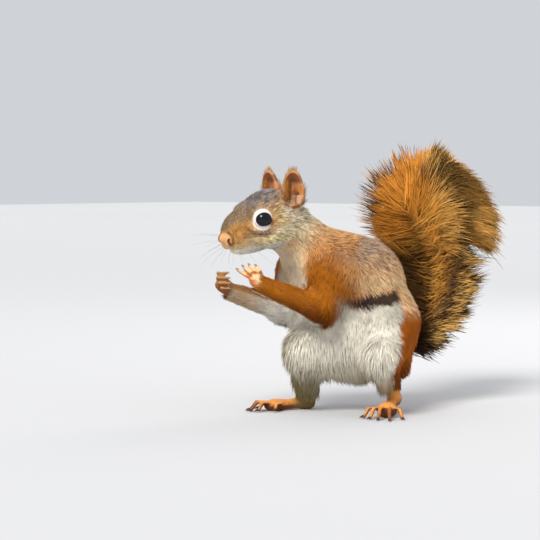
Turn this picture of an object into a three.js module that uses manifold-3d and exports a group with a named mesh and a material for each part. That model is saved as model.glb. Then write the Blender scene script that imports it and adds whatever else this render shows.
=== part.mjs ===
// A red squirrel (Tamiasciurus hudsonicus), life size, standing on its hind feet with its
// hands held together below its mouth and its tail raised behind its back.
//
// Millimetres, Z up. The squirrel is laid out in a pose frame in which it looks roughly along
// -X with its left side towards -Y; the finished figure is then turned until its trunk faces
// -Y, and moved until the middle of its footprint is the origin. Every surface is the outside
// of the coat. The body is one smooth field of distance, negative inside, which is turned into
// meshes and then parted with thin cuts.
import * as THREE from "three";
import { mergeVertices } from "three/addons/utils/BufferGeometryUtils.js";
import Module from "manifold-3d";

const wasm = await Module();
wasm.setup();

const at = (x, y, z) => new THREE.Vector3(x, y, z);
const radians = THREE.MathUtils.degToRad;
const { lerp } = THREE.MathUtils;
const SIDES = ["left", "right"];

// ---------------------------------------------------------------- sizes

const GAP = 0.4; // between two neighbouring pieces
const ROUNDING = 0.02; // of every corner, on its axes
const SOCKET = 2.5; // how far outside its own field a limb parts from the trunk
const FACET = {
  trunk: 8.4,
  socket: 9,
  upper: 6.8,
  lower: 5.2,
  paw: 3.2,
  head: 4.2,
  jaw: 3,
  nose: 1.8,
  lock: 4,
  tail: 9.5,
};

const trunkTurn = 42; // brings the trunk's own front to -Y

const head = { eyes: at(-61.6, 0, 114.5), yaw: 28, pitch: 12 }; // midway between the eyeballs
const eye = { out: 11.2, radius: 5.2 };
const ear = {
  root: at(-20.8, 12.4, 12.5),
  height: 23,
  width: 14.2,
  depth: 9.4,
  wall: 1.2,
  narrowing: 0.12,
  opening: { left: at(0.55, 0.84, 0), right: at(0.94, 0.34, 0) },
};

const spine = { nape: at(-42, 12, 109.5), withers: at(-20, 20, 87.5) };
const waist = { place: at(0, 26, 63.5), way: at(0.2, 0.1, -1) };

const arm = {
  left: { shoulder: at(-15, 3, 82.5), elbow: at(-23, -6, 62.5), wrist: at(-57, -11, 77) },
  right: { shoulder: at(-36, 31, 81.5), elbow: at(-45, 24, 60.5), wrist: at(-75, 9, 71.5) },
};
const leg = {
  left: {
    hip: at(20, 21, 52.5),
    knee: at(13, -8, 37.5),
    ankle: at(19.5, 9, 14.5),
    heel: at(21.5, 14, 8),
    ball: at(15.5, -8, 4.4),
    slimmest: 5,
    breeches: [at(26.5, 20, 42), at(25.2, 13, 27)],
  },
  right: {
    hip: at(-10, 38, 52.5),
    knee: at(-32, 13, 38.5),
    ankle: at(-30, 28, 11),
    heel: at(-29, 32, 3.8),
    ball: at(-50, 23, 3.2),
    slimmest: 6.4,
    breeches: [at(-20, 40, 44), at(-24, 34, 29)],
  },
};

// Each digit runs from a root inside the hand or foot, over a knuckle, to the tip of its claw.
const fingers = {
  radius: 1.5,
  claw: 2.2,
  left: [
    [at(-60, -10, 78.5), at(-64, -12, 81), at(-72.2, -9, 86.3)],
    [at(-58.5, -10, 79.5), at(-61.5, -13, 82), at(-68.8, -9.8, 88.3)],
    [at(-57, -10, 80.5), at(-59, -13.5, 83), at(-65.2, -10.2, 89.2)],
    [at(-55.5, -9.5, 80.5), at(-56.3, -12.8, 83.3), at(-61.4, -9.6, 88.8)],
  ],
  right: [
    [at(-79, 8, 76.5), at(-83.8, 5.5, 82), at(-75.5, -2.5, 83.3)],
    [at(-79.5, 7, 75.5), at(-84.8, 4, 79.5), at(-75, -4, 80.3)],
    [at(-79, 6.5, 74.5), at(-84, 3, 76.7), at(-75, -4, 77.3)],
    [at(-78, 6, 73.5), at(-81.8, 2.6, 74.1), at(-75.2, -3, 74.1)],
  ],
};
const palm = { left: at(-59.5, -10.6, 79.5), right: at(-79.5, 6.6, 76), radii: at(5.2, 4, 4.6) };
const toes = {
  radius: 1.75,
  claw: 3,
  arch: 2.4,
  left: [
    [at(12, -7, 5.2), at(-1, -15, 0.7)],
    [at(12.6, -8, 5.7), at(3.2, -20.5, 0.7)],
    [at(14, -9, 6), at(8.4, -25, 0.7)],
    [at(16, -9.5, 6), at(15.8, -28, 0.7)],
    [at(18.4, -8, 5.4), at(24.6, -22.6, 0.7)],
  ],
  right: [
    [at(-45.5, 20.5, 3.8), at(-50.5, 11.5, 0.7)],
    [at(-50.3, 20.9, 4.3), at(-61.5, 13, 0.7)],
    [at(-51.5, 22, 4.6), at(-66.4, 15.2, 0.7)],
    [at(-51.2, 24.2, 4.6), at(-67, 19.6, 0.7)],
    [at(-49.5, 26, 4.2), at(-61.6, 25, 0.7)],
  ],
};

// The tail's bones, with the radius of its brush of hair at each of them. The hair is parted to
// both sides, so the brush is wider than it is thick.
const tail = {
  across: at(0.82, -0.57, 0),
  backwards: at(0.57, 0.82, 0),
  flatness: 0.62,
  bones: [
    [at(24, 50, 40), 10],
    [at(34, 56, 41), 14.5],
    [at(45, 61, 54), 16],
    [at(48, 63, 70), 18],
    [at(49, 62, 87.5), 20],
    [at(40, 59, 106), 22],
    [at(34, 57, 122), 22.5],
    [at(43, 64, 136), 22],
    [at(58, 77, 134), 20],
    [at(70, 84, 119), 18],
    [at(71, 82, 101), 16.5],
  ],
  middleFrom: 3,
  tipFrom: 90, // how far backwards of the pose frame's origin
};
const restingLock = [at(24, 50, 30), 9, at(22.5, 53, 1), 4.2]; // hair below the root of the tail

// ---------------------------------------------------------------- fields of distance

// An ellipsoid pitched about Y.
function mass(centre, radii, pitch = 0) {
  const turn = new THREE.Matrix4().makeRotationY(radians(pitch));
  const toLocal = turn.setPosition(centre).invert();
  const q = new THREE.Vector3();
  return (p) => {
    q.copy(p).applyMatrix4(toLocal).divide(radii);
    const k0 = q.length();
    const k1 = q.divide(radii).length();
    return k1 > 0 ? (k0 * (k0 - 1)) / k1 : -Math.min(...radii);
  };
}

// A round limb from a to b, whose radius goes from ra to rb.
function limb(a, b, ra, rb) {
  const line = new THREE.Line3(a, b);
  const nearest = new THREE.Vector3();
  return (p) => {
    const t = line.closestPointToPointParameter(p, true);
    return p.distanceTo(line.at(t, nearest)) - lerp(ra, rb, t);
  };
}

// The least of two distances, rounded off where they are within k of each other.
function soften(a, b, k) {
  const h = Math.max(k - Math.abs(a - b), 0) / k;
  return Math.min(a, b) - (h * h * k) / 4;
}

// Several fields as one, run into each other over the distance k.
const melt = (k, ...fields) => (p) => fields.map((f) => f(p)).reduce((a, b) => soften(a, b, k));

const swell = (field, by) => (p) => field(p) - by;

// ---------------------------------------------------------------- the body's fields

// The head's own frame: X forwards, Y to the left, Z up, with its origin between the eyes.
function headFrame() {
  const yaw = radians(head.yaw);
  const pitch = radians(head.pitch);
  const level = Math.cos(pitch);
  const forwards = at(-Math.cos(yaw) * level, -Math.sin(yaw) * level, -Math.sin(pitch));
  const left = at(Math.sin(yaw), -Math.cos(yaw), 0);
  return new THREE.Matrix4()
    .makeBasis(forwards, left, forwards.clone().cross(left))
    .setPosition(head.eyes);
}
const inHead = headFrame();

// A field in the head's frame, whose right half mirrors its left half.
function onHead(field) {
  const toHead = inHead.clone().invert();
  const q = new THREE.Vector3();
  return (p) => {
    q.copy(p).applyMatrix4(toHead);
    q.y = Math.abs(q.y);
    return field(q);
  };
}

const skull = onHead(
  melt(
    4,
    mass(at(-9, 0, 0), at(20, 15, 16.5)), // braincase
    mass(at(7, 0, -2.5), at(16, 9, 11.5), 14), // snout
    mass(at(14, 4, -9.6), at(7.5, 4.8, 5.4), 8), // whisker pads
    mass(at(-6, 9.5, -8.5), at(14, 8, 11)), // cheeks
    mass(at(-2, 9.5, 5.5), at(11, 5, 5.5)), // brow
    mass(at(-4, 0, -12), at(13, 9, 7)), // throat
  ),
);
const jaw = onHead(melt(2, mass(at(8, 0, -15), at(11, 5, 4.2), -3), mass(at(0, 0, -14), at(9, 7, 5))));
const nose = onHead(mass(at(21.2, 0, -6.3), at(3, 3.3, 3)));

const trunk = melt(
  12,
  mass(at(-14, 20, 81), at(25, 24, 26)), // ribs
  mass(at(0, 26, 75.5), at(29.5, 24.5, 29.5)), // back
  mass(at(-3, 24, 48.5), at(30.5, 26.5, 29.5)), // belly
  mass(at(10, 33, 54.5), at(23.5, 23.5, 26)), // rump
);
const core = melt(9, melt(9, trunk, limb(spine.nape, spine.withers, 16, 21)), skull);

const limbs = {};
for (const side of SIDES) {
  const { shoulder, elbow, wrist } = arm[side];
  limbs["arm_" + side] = melt(
    5,
    mass(shoulder, at(13, 12, 15)),
    limb(shoulder, elbow, 12, 8.6),
    limb(elbow, wrist, 8.6, 5.4),
  );
  const { hip, knee, ankle, slimmest, breeches } = leg[side];
  limbs["leg_" + side] = melt(
    6,
    mass(hip.clone().lerp(knee, 0.5), at(15, 17, 19)),
    limb(hip, knee, 19, 12),
    limb(knee, ankle, 11, slimmest),
    limb(...breeches, 8, 6.8), // the long hair behind the thigh
  );
}
const body = (p) => Object.values(limbs).reduce((d, own) => soften(d, own(p), 5), core(p));

// ---------------------------------------------------------------- from fields to solids

const CORNERS = [0, 1, 2, 3, 4, 5, 6, 7].map((c) => [c & 1, (c >> 1) & 1, (c >> 2) & 1]);
const EDGES = CORNERS.flatMap((_, a) => [1, 2, 4].filter((b) => !(a & b)).map((b) => [a, a | b]));

function solidFromArrays(positions, indices) {
  const mesh = new wasm.Mesh({
    numProp: 3,
    vertProperties: Float32Array.from(positions),
    triVerts: Uint32Array.from(indices),
  });
  return new wasm.Manifold(mesh);
}

// A point near the zero level of a field, moved onto it down the slope, and then outwards.
function settle(field, point, step, outset) {
  const h = 0.05;
  const slope = at(0, 0, 0);
  for (let round = 0; round < 3; round++) {
    const d = field(point);
    slope.set(
      field(point.clone().setX(point.x + h)) - d,
      field(point.clone().setY(point.y + h)) - d,
      field(point.clone().setZ(point.z + h)) - d,
    );
    slope.divideScalar(h);
    if (Math.abs(d) < step) point.addScaledVector(slope, -d / Math.max(slope.lengthSq(), 0.25));
  }
  return point.addScaledVector(slope.normalize(), outset);
}

// The inside of a field within a box, as one closed solid with facets about a step across:
// a corner in every cell that the surface crosses, and a square around every crossed edge.
function solidOf(field, box, step, outset = 0) {
  const n = box.getSize(at(0, 0, 0)).toArray().map((side) => Math.ceil(side / step) + 1);
  const index = ([i, j, k]) => (i * n[1] + j) * n[2] + k;
  const place = (cell) => at(...cell).multiplyScalar(step).add(box.min);
  const cells = [];
  for (let i = 0; i < n[0]; i++)
    for (let j = 0; j < n[1]; j++)
      for (let k = 0; k < n[2]; k++) cells.push([i, j, k]);

  const values = cells.map((cell) => {
    const rim = cell.some((c, m) => c === 0 || c === n[m] - 1);
    return rim ? Math.max(field(place(cell)), step / 2) : field(place(cell));
  });

  const vertices = [];
  const vertexOf = new Map();
  for (const cell of cells.filter((c) => c.every((value, m) => value < n[m] - 1))) {
    const corners = CORNERS.map((d) => values[index(cell.map((c, m) => c + d[m]))]);
    const cuts = EDGES.filter(([a, b]) => corners[a] < 0 !== corners[b] < 0);
    if (!cuts.length) continue;
    const middle = at(0, 0, 0);
    for (const [a, b] of cuts) {
      const t = corners[a] / (corners[a] - corners[b]);
      middle.add(at(...CORNERS[a]).lerp(at(...CORNERS[b]), t));
    }
    middle.divideScalar(cuts.length).multiplyScalar(step).add(place(cell));
    vertexOf.set(index(cell), vertices.length);
    vertices.push(settle(field, middle, step, outset));
  }

  const triangles = [];
  for (const cell of cells)
    for (let axis = 0; axis < 3; axis++) {
      if (cell[axis] === n[axis] - 1) continue;
      const inside = values[index(cell)] < 0;
      if (inside === values[index(cell.map((c, m) => c + (m === axis)))] < 0) continue;
      const ring = [[0, 0], [1, 0], [1, 1], [0, 1]].map(([du, dv]) => {
        const near = [...cell];
        near[(axis + 1) % 3] -= du;
        near[(axis + 2) % 3] -= dv;
        return vertexOf.get(index(near));
      });
      const [a, b, c, d] = inside ? ring : ring.reverse();
      const short = vertices[a].distanceTo(vertices[c]) < vertices[b].distanceTo(vertices[d]);
      triangles.push(...(short ? [a, b, c, a, c, d] : [b, c, d, b, d, a]));
    }
  return solidFromArrays(vertices.flatMap((v) => v.toArray()), triangles);
}

// A closed three.js geometry as a solid.
function solidFrom(geometry) {
  const bare = new THREE.BufferGeometry()
    .setAttribute("position", geometry.getAttribute("position"))
    .setIndex(geometry.getIndex());
  const merged = mergeVertices(bare, 1e-4);
  const indices = [...merged.index.array];
  const whole = indices.filter((_, i) => {
    const [a, b, c] = indices.slice(i - (i % 3), i - (i % 3) + 3);
    return a !== b && b !== c && c !== a;
  });
  return solidFromArrays(merged.attributes.position.array, whole);
}

// A solid's faces, with its corners rounded so that no cut leaves two of them nearly in one
// place. A face that this closes up is dropped, and so are two that it folds onto each other.
function geometryOf(solid) {
  const mesh = solid.getMesh();
  const corners = Float32Array.from(mesh.vertProperties, (x) => Math.round(x / ROUNDING) * ROUNDING);
  const rounded = new THREE.BufferGeometry()
    .setAttribute("position", new THREE.BufferAttribute(corners, 3))
    .setIndex(new THREE.BufferAttribute(mesh.triVerts, 1));
  const merged = mergeVertices(rounded, ROUNDING / 2);
  const faces = new Map();
  for (let i = 0; i < merged.index.count; i += 3) {
    const face = [0, 1, 2].map((k) => merged.index.getX(i + k));
    if (new Set(face).size < 3) continue;
    const key = [...face].sort().join();
    if (!faces.delete(key)) faces.set(key, face);
  }
  const geometry = merged.setIndex([...faces.values()].flat()).toNonIndexed();
  geometry.computeVertexNormals();
  return geometry;
}

// The box round some points, with room on every side.
const boxRound = (room, ...points) => new THREE.Box3().setFromPoints(points).expandByScalar(room);

// What of a solid lies beyond a plane, on the side that its normal points to.
function beyond(solid, point, way) {
  const normal = way.clone().normalize();
  return solid.trimByPlane(normal.toArray(), normal.dot(point) + GAP / 2);
}

// Both parts of a solid that is cut across a joint: the one before it and the one after it.
const cutAcross = (solid, point, way) => [
  beyond(solid, point, way.clone().negate()),
  beyond(solid, point, way),
];

// ---------------------------------------------------------------- digits and ears

// A tapering digit with its claw: a turned profile, bent along a curve.
function digit(points, radius, claw) {
  const curve = new THREE.CatmullRomCurve3(points);
  const flesh = 1 - claw / curve.getLength();
  const profile = [
    [0, 0],
    [0.03, 0.9],
    [0.5, 0.95],
    [flesh - 0.02, 0.9],
    [flesh + 0.05, 0.45],
    [1, 0],
  ].map(([t, r]) => new THREE.Vector2(r * radius, t));
  const geometry = new THREE.LatheGeometry(profile, 5);
  const position = geometry.getAttribute("position");
  for (let i = 0; i < position.count; i++) {
    const t = THREE.MathUtils.clamp(position.getY(i), 0, 1);
    const along = curve.getTangentAt(t);
    const across = along.clone().cross(at(0.1, 0.2, 1)).normalize();
    const place = curve
      .getPointAt(t)
      .addScaledVector(across, position.getX(i))
      .addScaledVector(across.clone().cross(along), position.getZ(i));
    position.setXYZ(i, ...place);
  }
  return solidFrom(geometry);
}

function toe([root, tip], { radius, claw, arch }) {
  const knuckle = root.clone().lerp(tip, 0.45).setZ(root.z + arch);
  const pad = root.clone().lerp(tip, 0.76).setZ(radius * 0.8);
  return digit([root, knuckle.lerp(pad, 0.1), pad, tip], radius, claw);
}

// An egg with its narrow end up, standing on the origin.
function egg(depth, width, height, narrowing) {
  const geometry = new THREE.SphereGeometry(1, 10, 8).rotateX(Math.PI / 2);
  const position = geometry.getAttribute("position");
  for (let i = 0; i < position.count; i++) {
    const up = position.getZ(i);
    const slim = 1 - narrowing * up;
    position.setXYZ(
      i,
      (position.getX(i) * slim * depth) / 2,
      (position.getY(i) * slim * width) / 2,
      ((up + 1) * height) / 2,
    );
  }
  return geometry;
}

// A cupped ear: an egg, less a smaller egg that comes out of its front.
function earOn(side) {
  const out = side === "left" ? 1 : -1;
  const { root, height, width, depth, wall, narrowing, opening } = ear;
  const up = at(-0.1, 0.12 * out, 1).normalize();
  const across = up.clone().cross(opening[side]).normalize();
  const stand = new THREE.Matrix4()
    .makeBasis(across.clone().cross(up), across, up)
    .setPosition(root.x, root.y * out, root.z - height * 0.45)
    .premultiply(inHead);
  const shell = egg(depth, width, height, narrowing).applyMatrix4(stand);
  const cup = egg(depth, width - 2 * wall, height - 2 * wall, narrowing)
    .translate(depth * 0.38, 0, wall)
    .applyMatrix4(stand);
  return solidFrom(shell).subtract(solidFrom(cup));
}

// ---------------------------------------------------------------- pieces of the body

const solids = {};
const along = (a, b) => b.clone().sub(a).normalize();
const up = at(0, 0, 1);
const down = at(0, 0, -1);

// The largest of a solid's separate pieces.
const mainPiece = (solid) =>
  solid.decompose().reduce((best, piece) => (piece.volume() > best.volume() ? piece : best));

// The trunk is the body less four sockets, and each limb is what lies inside its own.
const bodyBox = new THREE.Box3(at(-98, -32, -6), at(52, 72, 140));
const limbBox = { arm: [24, "shoulder", "elbow", "wrist"], leg: [29, "hip", "knee", "ankle"] };
let rest = solidOf(body, bodyBox, FACET.trunk);
const socketsBefore = [];
function limbPieces(name) {
  const [part, side] = name.split("_");
  const [room, ...joints] = limbBox[part];
  const box = boxRound(room, ...joints.map((joint) => ({ arm, leg })[part][side][joint]));
  const cell = (outset) => solidOf(swell(limbs[name], SOCKET), box, FACET.socket, outset);
  const [upper, lower] = [FACET.upper, FACET.lower].map((facet) =>
    solidOf(body, box, facet).intersect(cell(0)),
  );
  return { upper, lower, socket: cell(GAP) };
}
for (const side of SIDES) {
  const { shoulder, elbow, wrist } = arm[side];
  const bend = along(shoulder, elbow).add(along(elbow, wrist));
  const { upper, lower, socket } = limbPieces("arm_" + side);
  const forearm = beyond(beyond(lower, elbow, bend), wrist, along(wrist, elbow));
  solids["upper_arm_" + side] = mainPiece(beyond(upper, elbow, bend.negate()));
  solids["forearm_" + side] = mainPiece(forearm);
  socketsBefore.push(socket);

  const palmField = melt(2, mass(palm[side], palm.radii), limb(wrist, palm[side], 5, 3.6));
  const palmSolid = solidOf(palmField, boxRound(8, wrist, palm[side]), FACET.paw);
  const hand = fingers[side]
    .map((points) => digit(points, fingers.radius, fingers.claw))
    .reduce((joined, finger) => joined.add(finger), palmSolid);
  solids["hand_" + side] = beyond(hand, wrist, along(elbow, wrist));
}

for (const side of SIDES) {
  const { hip, knee, ankle, heel, ball } = leg[side];
  const bend = along(hip, knee).add(along(knee, ankle));
  const { upper, lower, socket } = limbPieces("leg_" + side);
  const thigh = beyond(upper, knee, bend.clone().negate());
  const shank = beyond(beyond(lower, knee, bend), ankle, up);
  const clearOfOthers = (solid) => socketsBefore.reduce((left, cut) => left.subtract(cut), solid);
  solids["thigh_" + side] = mainPiece(clearOfOthers(thigh));
  solids["shank_" + side] = mainPiece(clearOfOthers(shank));
  socketsBefore.push(socket);

  const sole = melt(
    3,
    limb(ankle, heel, leg[side].slimmest, 3.8),
    limb(heel, ball, 3.8, 3.4),
    mass(ball, at(6.4, 5.6, ball.z + 0.5)),
  );
  const soleSolid = solidOf(sole, boxRound(8, ankle, heel, ball), FACET.paw);
  const foot = toes[side]
    .map((ends) => toe(ends, toes))
    .reduce((joined, digitOf) => joined.add(digitOf), soleSolid);
  solids["foot_" + side] = beyond(foot, ankle, down).trimByPlane([0, 0, 1], 0);
}

for (const socket of socketsBefore) rest = rest.subtract(socket);
const nape = along(spine.nape, spine.withers);
const [, shoulders] = cutAcross(rest, spine.nape, nape);
const [neck, below] = cutAcross(shoulders, spine.withers, nape);
const [chest, abdomen] = cutAcross(below, waist.place, waist.way);
solids.neck = mainPiece(neck);
solids.chest = mainPiece(chest);
solids.abdomen = mainPiece(abdomen);

const headBox = new THREE.Box3(at(-38, -24, -26), at(32, 24, 26)).applyMatrix4(inHead);
let [face] = cutAcross(solidOf(core, headBox, FACET.head), spine.nape, nape);
for (const side of SIDES) {
  const centre = at(0, side === "left" ? eye.out : -eye.out, 0).applyMatrix4(inHead);
  const ball = (radius) =>
    solidFrom(new THREE.SphereGeometry(radius, 12, 8).translate(...centre));
  solids["eye_" + side] = ball(eye.radius);
  face = face.subtract(ball(eye.radius + GAP));
}
solids.head = mainPiece(face);
const headClearance = solidOf(core, headBox, FACET.head, GAP);
for (const side of SIDES) solids["ear_" + side] = mainPiece(earOn(side).subtract(headClearance));
solids.nose = mainPiece(solidOf(nose, headBox, FACET.nose).subtract(headClearance));
solids.lower_jaw = mainPiece(solidOf(jaw, headBox, FACET.jaw).subtract(headClearance));

// The tail's brush: round limbs along the bones, in a space squeezed across the tail.
function brush() {
  const { across, flatness, bones } = tail;
  const squeeze = (p) => p.clone().addScaledVector(across, (flatness - 1) * p.dot(across));
  const curve = new THREE.CatmullRomCurve3(bones.map(([bone]) => squeeze(bone)));
  const last = bones.length - 1;
  const radiusAt = (t) => {
    const k = Math.min(Math.floor(t), last - 1);
    return lerp(bones[k][1], bones[k + 1][1], t - k);
  };
  const pieces = [];
  for (let t = 0; t < last; t += 0.5) {
    const ends = [t, t + 0.5].map((place) => curve.getPoint(place / last));
    pieces.push(limb(...ends, radiusAt(t), radiusAt(t + 0.5)));
  }
  return (p) => {
    const squeezed = squeeze(p);
    return Math.min(...pieces.map((piece) => piece(squeezed)));
  };
}

const hair = brush();
const tailBox = boxRound(36, ...tail.bones.map(([bone]) => bone));
const [lockTop, lockTopRadius, lockEnd, lockEndRadius] = restingLock;
const lock = limb(lockTop, lockEnd, lockTopRadius, lockEndRadius);
const wholeTail = solidOf(hair, tailBox, FACET.tail)
  .add(solidOf(lock, boxRound(12, lockTop, lockEnd), FACET.lock))
  .subtract(solidOf(swell(body, GAP), tailBox.union(bodyBox), FACET.trunk, GAP))
  .trimByPlane([0, 0, 1], 0);
const bonePoint = (k) => tail.bones[k][0];
const { middleFrom, tipFrom, backwards } = tail;
const upwards = along(bonePoint(middleFrom - 1), bonePoint(middleFrom + 1));
const [tailBase, upperTail] = cutAcross(wholeTail, bonePoint(middleFrom), upwards);
const tipPlace = backwards.clone().normalize().multiplyScalar(tipFrom);
const [tailMiddle, tailTip] = cutAcross(upperTail, tipPlace, backwards);
solids.tail_base = mainPiece(tailBase);
solids.tail_middle = mainPiece(tailMiddle);
solids.tail_tip = mainPiece(tailTip);

// ---------------------------------------------------------------- colours

const COATS = [
  [/^(head|neck)$/, 0x8a6a48],
  [/^(chest)$/, 0x8f6238],
  [/^(abdomen|lower_jaw)$/, 0xe9e1d2],
  [/^nose$/, 0xc98f70],
  [/^eye_/, 0x0b0a0c],
  [/^ear_/, 0xa45a30],
  [/^(upper_arm|forearm)_/, 0xb0611f],
  [/^(hand|foot)_/, 0xd98a3a],
  [/^(thigh|shank)_/, 0xa9682f],
  [/^tail_/, 0xa8512a],
];
const coatOf = (name) => COATS.find(([pattern]) => pattern.test(name))[1];

const figure = new THREE.Group();
for (const [name, solid] of Object.entries(solids)) {
  const roughness = name.startsWith("eye") ? 0.05 : 0.85;
  const material = new THREE.MeshStandardMaterial({ color: coatOf(name), roughness, metalness: 0 });
  const mesh = new THREE.Mesh(geometryOf(solid), material);
  mesh.name = name;
  figure.add(mesh);
}
figure.rotation.z = radians(trunkTurn);
figure.updateMatrixWorld(true);
const footprint = new THREE.Box3().setFromObject(figure, true);
const middle = footprint.getCenter(at(0, 0, 0));
figure.position.set(-middle.x, -middle.y, -footprint.min.z);

const squirrel = new THREE.Group();
squirrel.name = "red_squirrel";
squirrel.add(figure);
export default squirrel;
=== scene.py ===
import itertools
import math

import bpy
import numpy as np
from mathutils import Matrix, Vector
from mathutils.bvhtree import BVHTree
from mathutils.kdtree import KDTree


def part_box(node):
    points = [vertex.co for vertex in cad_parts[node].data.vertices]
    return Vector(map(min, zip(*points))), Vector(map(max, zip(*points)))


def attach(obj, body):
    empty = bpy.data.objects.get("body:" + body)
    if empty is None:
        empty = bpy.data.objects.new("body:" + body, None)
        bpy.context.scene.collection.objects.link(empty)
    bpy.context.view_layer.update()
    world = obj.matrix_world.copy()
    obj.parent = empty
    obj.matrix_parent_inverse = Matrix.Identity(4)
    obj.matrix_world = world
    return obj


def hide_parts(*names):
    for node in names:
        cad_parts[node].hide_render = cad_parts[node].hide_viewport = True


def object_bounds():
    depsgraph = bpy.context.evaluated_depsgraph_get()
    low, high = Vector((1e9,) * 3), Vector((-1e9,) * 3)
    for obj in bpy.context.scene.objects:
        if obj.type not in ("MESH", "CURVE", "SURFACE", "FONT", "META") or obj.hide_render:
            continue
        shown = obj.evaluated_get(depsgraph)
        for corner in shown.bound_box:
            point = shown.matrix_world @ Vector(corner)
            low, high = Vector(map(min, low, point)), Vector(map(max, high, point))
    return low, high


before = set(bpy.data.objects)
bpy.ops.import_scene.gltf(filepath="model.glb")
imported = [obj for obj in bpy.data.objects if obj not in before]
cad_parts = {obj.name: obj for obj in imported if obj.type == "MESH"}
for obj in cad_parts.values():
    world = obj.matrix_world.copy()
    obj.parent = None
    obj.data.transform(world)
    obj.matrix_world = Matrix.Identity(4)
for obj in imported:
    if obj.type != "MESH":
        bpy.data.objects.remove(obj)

# The looks of a red squirrel. Shapes are worked out in millimetres in the CAD's pose frame, in which
# the squirrel looks roughly along -X with its left side towards -Y, and are then moved to the row's
# frame in metres. "Head frame" means X forwards, Y to the left, Z up, from midway between the eyes.

CAD_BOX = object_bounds()
rng = np.random.default_rng(11)
DENSITY = 0.66  # share of the coat's tufts
BROADER = DENSITY ** -0.5  # fewer tufts are broader, to cover as much
SIDES = (("left", 1), ("right", -1))

# ---------------- small helpers


def unit(v):
    return v / np.maximum(np.linalg.norm(v, axis=-1, keepdims=True), 1e-9)


def vec(x, y, z):
    return np.array([x, y, z], float)


def ramp(low, high, x):
    t = np.clip((x - low) / (high - low), 0, 1)
    return t * t * (3 - 2 * t)


def bell(x, width):
    return np.exp(-((x / width) ** 2))


def mix(a, b, t):
    return a + (b - a) * np.asarray(t)[..., None]


def linear(r, g, b):
    c = vec(r, g, b) / 255
    return np.where(c <= 0.04045, c / 12.92, ((c + 0.055) / 1.055) ** 2.4)


def waves(p, size, seed):
    """Smooth noise of about -1 to 1, with features of about this size."""
    r = np.random.default_rng(seed)
    total = np.zeros(len(p))
    for _ in range(8):
        k = unit(r.normal(size=3)) * 2 * math.pi / size * r.uniform(0.6, 1.5)
        total += np.sin(p @ k + r.uniform(0, 2 * math.pi))
    return total / 4


def flecks(p, size, seed):
    """A random number from -1 to 1 for each little cube of space."""
    cell = np.floor(p / size).astype(np.int64)
    mixed = (cell * [73856093, 19349663, 83492791]).sum(1) + seed * 7919
    return np.sin(mixed % 65521 * 12.9898) * 43758.5453 % 1 * 2 - 1


def nearest_on_path(p, path):
    """Distance of each point from a path, and how far along it the nearest place is, from 0 to 1."""
    path = np.asarray(path, float)
    best = np.full(len(p), 1e9)
    where = np.zeros(len(p))
    for i in range(len(path) - 1):
        a, d = path[i], path[i + 1] - path[i]
        t = np.clip((p - a) @ d / (d @ d), 0, 1)
        far = np.linalg.norm(p - a - t[:, None] * d, axis=1)
        where = np.where(far < best, (i + t) / (len(path) - 1), where)
        best = np.minimum(best, far)
    return best, where


# ---------------- frames

TURN = math.radians(42)  # from the pose frame to the row's
EYES = vec(-61.6, 0.0, 114.5)  # midway between them
YAW, PITCH = math.radians(28), math.radians(12)  # of the head
SPIN = np.array([[math.cos(TURN), -math.sin(TURN), 0], [math.sin(TURN), math.cos(TURN), 0], [0, 0, 1]])


def middle_of(node):
    low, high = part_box(node)
    return (np.array(low) + np.array(high)) * 500


SHIFT = (middle_of("eye_left") + middle_of("eye_right")) / 2 - SPIN @ EYES
LEVEL = math.cos(PITCH)
FORWARDS = vec(-math.cos(YAW) * LEVEL, -math.sin(YAW) * LEVEL, -math.sin(PITCH))
LEFTWARDS = vec(math.sin(YAW), -math.cos(YAW), 0)
HEAD = np.array([FORWARDS, LEFTWARDS, np.cross(FORWARDS, LEFTWARDS)])


def to_pose(p):
    return (p * 1000 - SHIFT) @ SPIN


def to_row(p):
    return (p @ SPIN.T + SHIFT) / 1000


def to_head(p):
    return (p - EYES) @ HEAD.T


def from_head(q):
    return np.asarray(q, float) @ HEAD + EYES


def mirrored(q):
    """Points of the head frame, with its right side brought over to its left."""
    return np.stack([q[:, 0], np.abs(q[:, 1]), q[:, 2]], 1)


# ---------------- the animal's sizes, as in the CAD

EYE_OUT, EYE_RADIUS = 11.2, 5.2
NAPE, WITHERS = vec(-42, 12, 109.5), vec(-20, 20, 87.5)
ARM = {  # shoulder, elbow and wrist
    "left": np.array([[-15, 3, 82.5], [-23, -6, 62.5], [-57, -11, 77.0]]),
    "right": np.array([[-36, 31, 81.5], [-45, 24, 60.5], [-75, 9, 71.5]]),
}
LEG = {  # hip, knee, ankle and ball of the foot
    "left": np.array([[20, 21, 52.5], [13, -8, 37.5], [19.5, 9, 14.5], [15.5, -8, 4.4]]),
    "right": np.array([[-10, 38, 52.5], [-32, 13, 38.5], [-30, 28, 11], [-50, 23, 3.2]]),
}
BREECHES = {  # the hair behind the thighs
    "left": np.array([[26.5, 20, 42], [25.2, 13, 27]]),
    "right": np.array([[-20, 40, 44], [-24, 34, 29]]),
}
SLIMMEST = {"left": 5, "right": 6.4}  # the shanks at the ankle
FINGERS = {  # paths, each from its root to its tip
    "left": [
        [(-60, -10, 78.5), (-64, -12, 81), (-72.2, -9, 86.3)],
        [(-58.5, -10, 79.5), (-61.5, -13, 82), (-68.8, -9.8, 88.3)],
        [(-57, -10, 80.5), (-59, -13.5, 83), (-65.2, -10.2, 89.2)],
        [(-55.5, -9.5, 80.5), (-56.3, -12.8, 83.3), (-61.4, -9.6, 88.8)],
    ],
    "right": [
        [(-79, 8, 76.5), (-83.8, 5.5, 82), (-75.5, -2.5, 83.3)],
        [(-79.5, 7, 75.5), (-84.8, 4, 79.5), (-75, -4, 80.3)],
        [(-79, 6.5, 74.5), (-84, 3, 76.7), (-75, -4, 77.3)],
        [(-78, 6, 73.5), (-81.8, 2.6, 74.1), (-75.2, -3, 74.1)],
    ],
}
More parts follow.
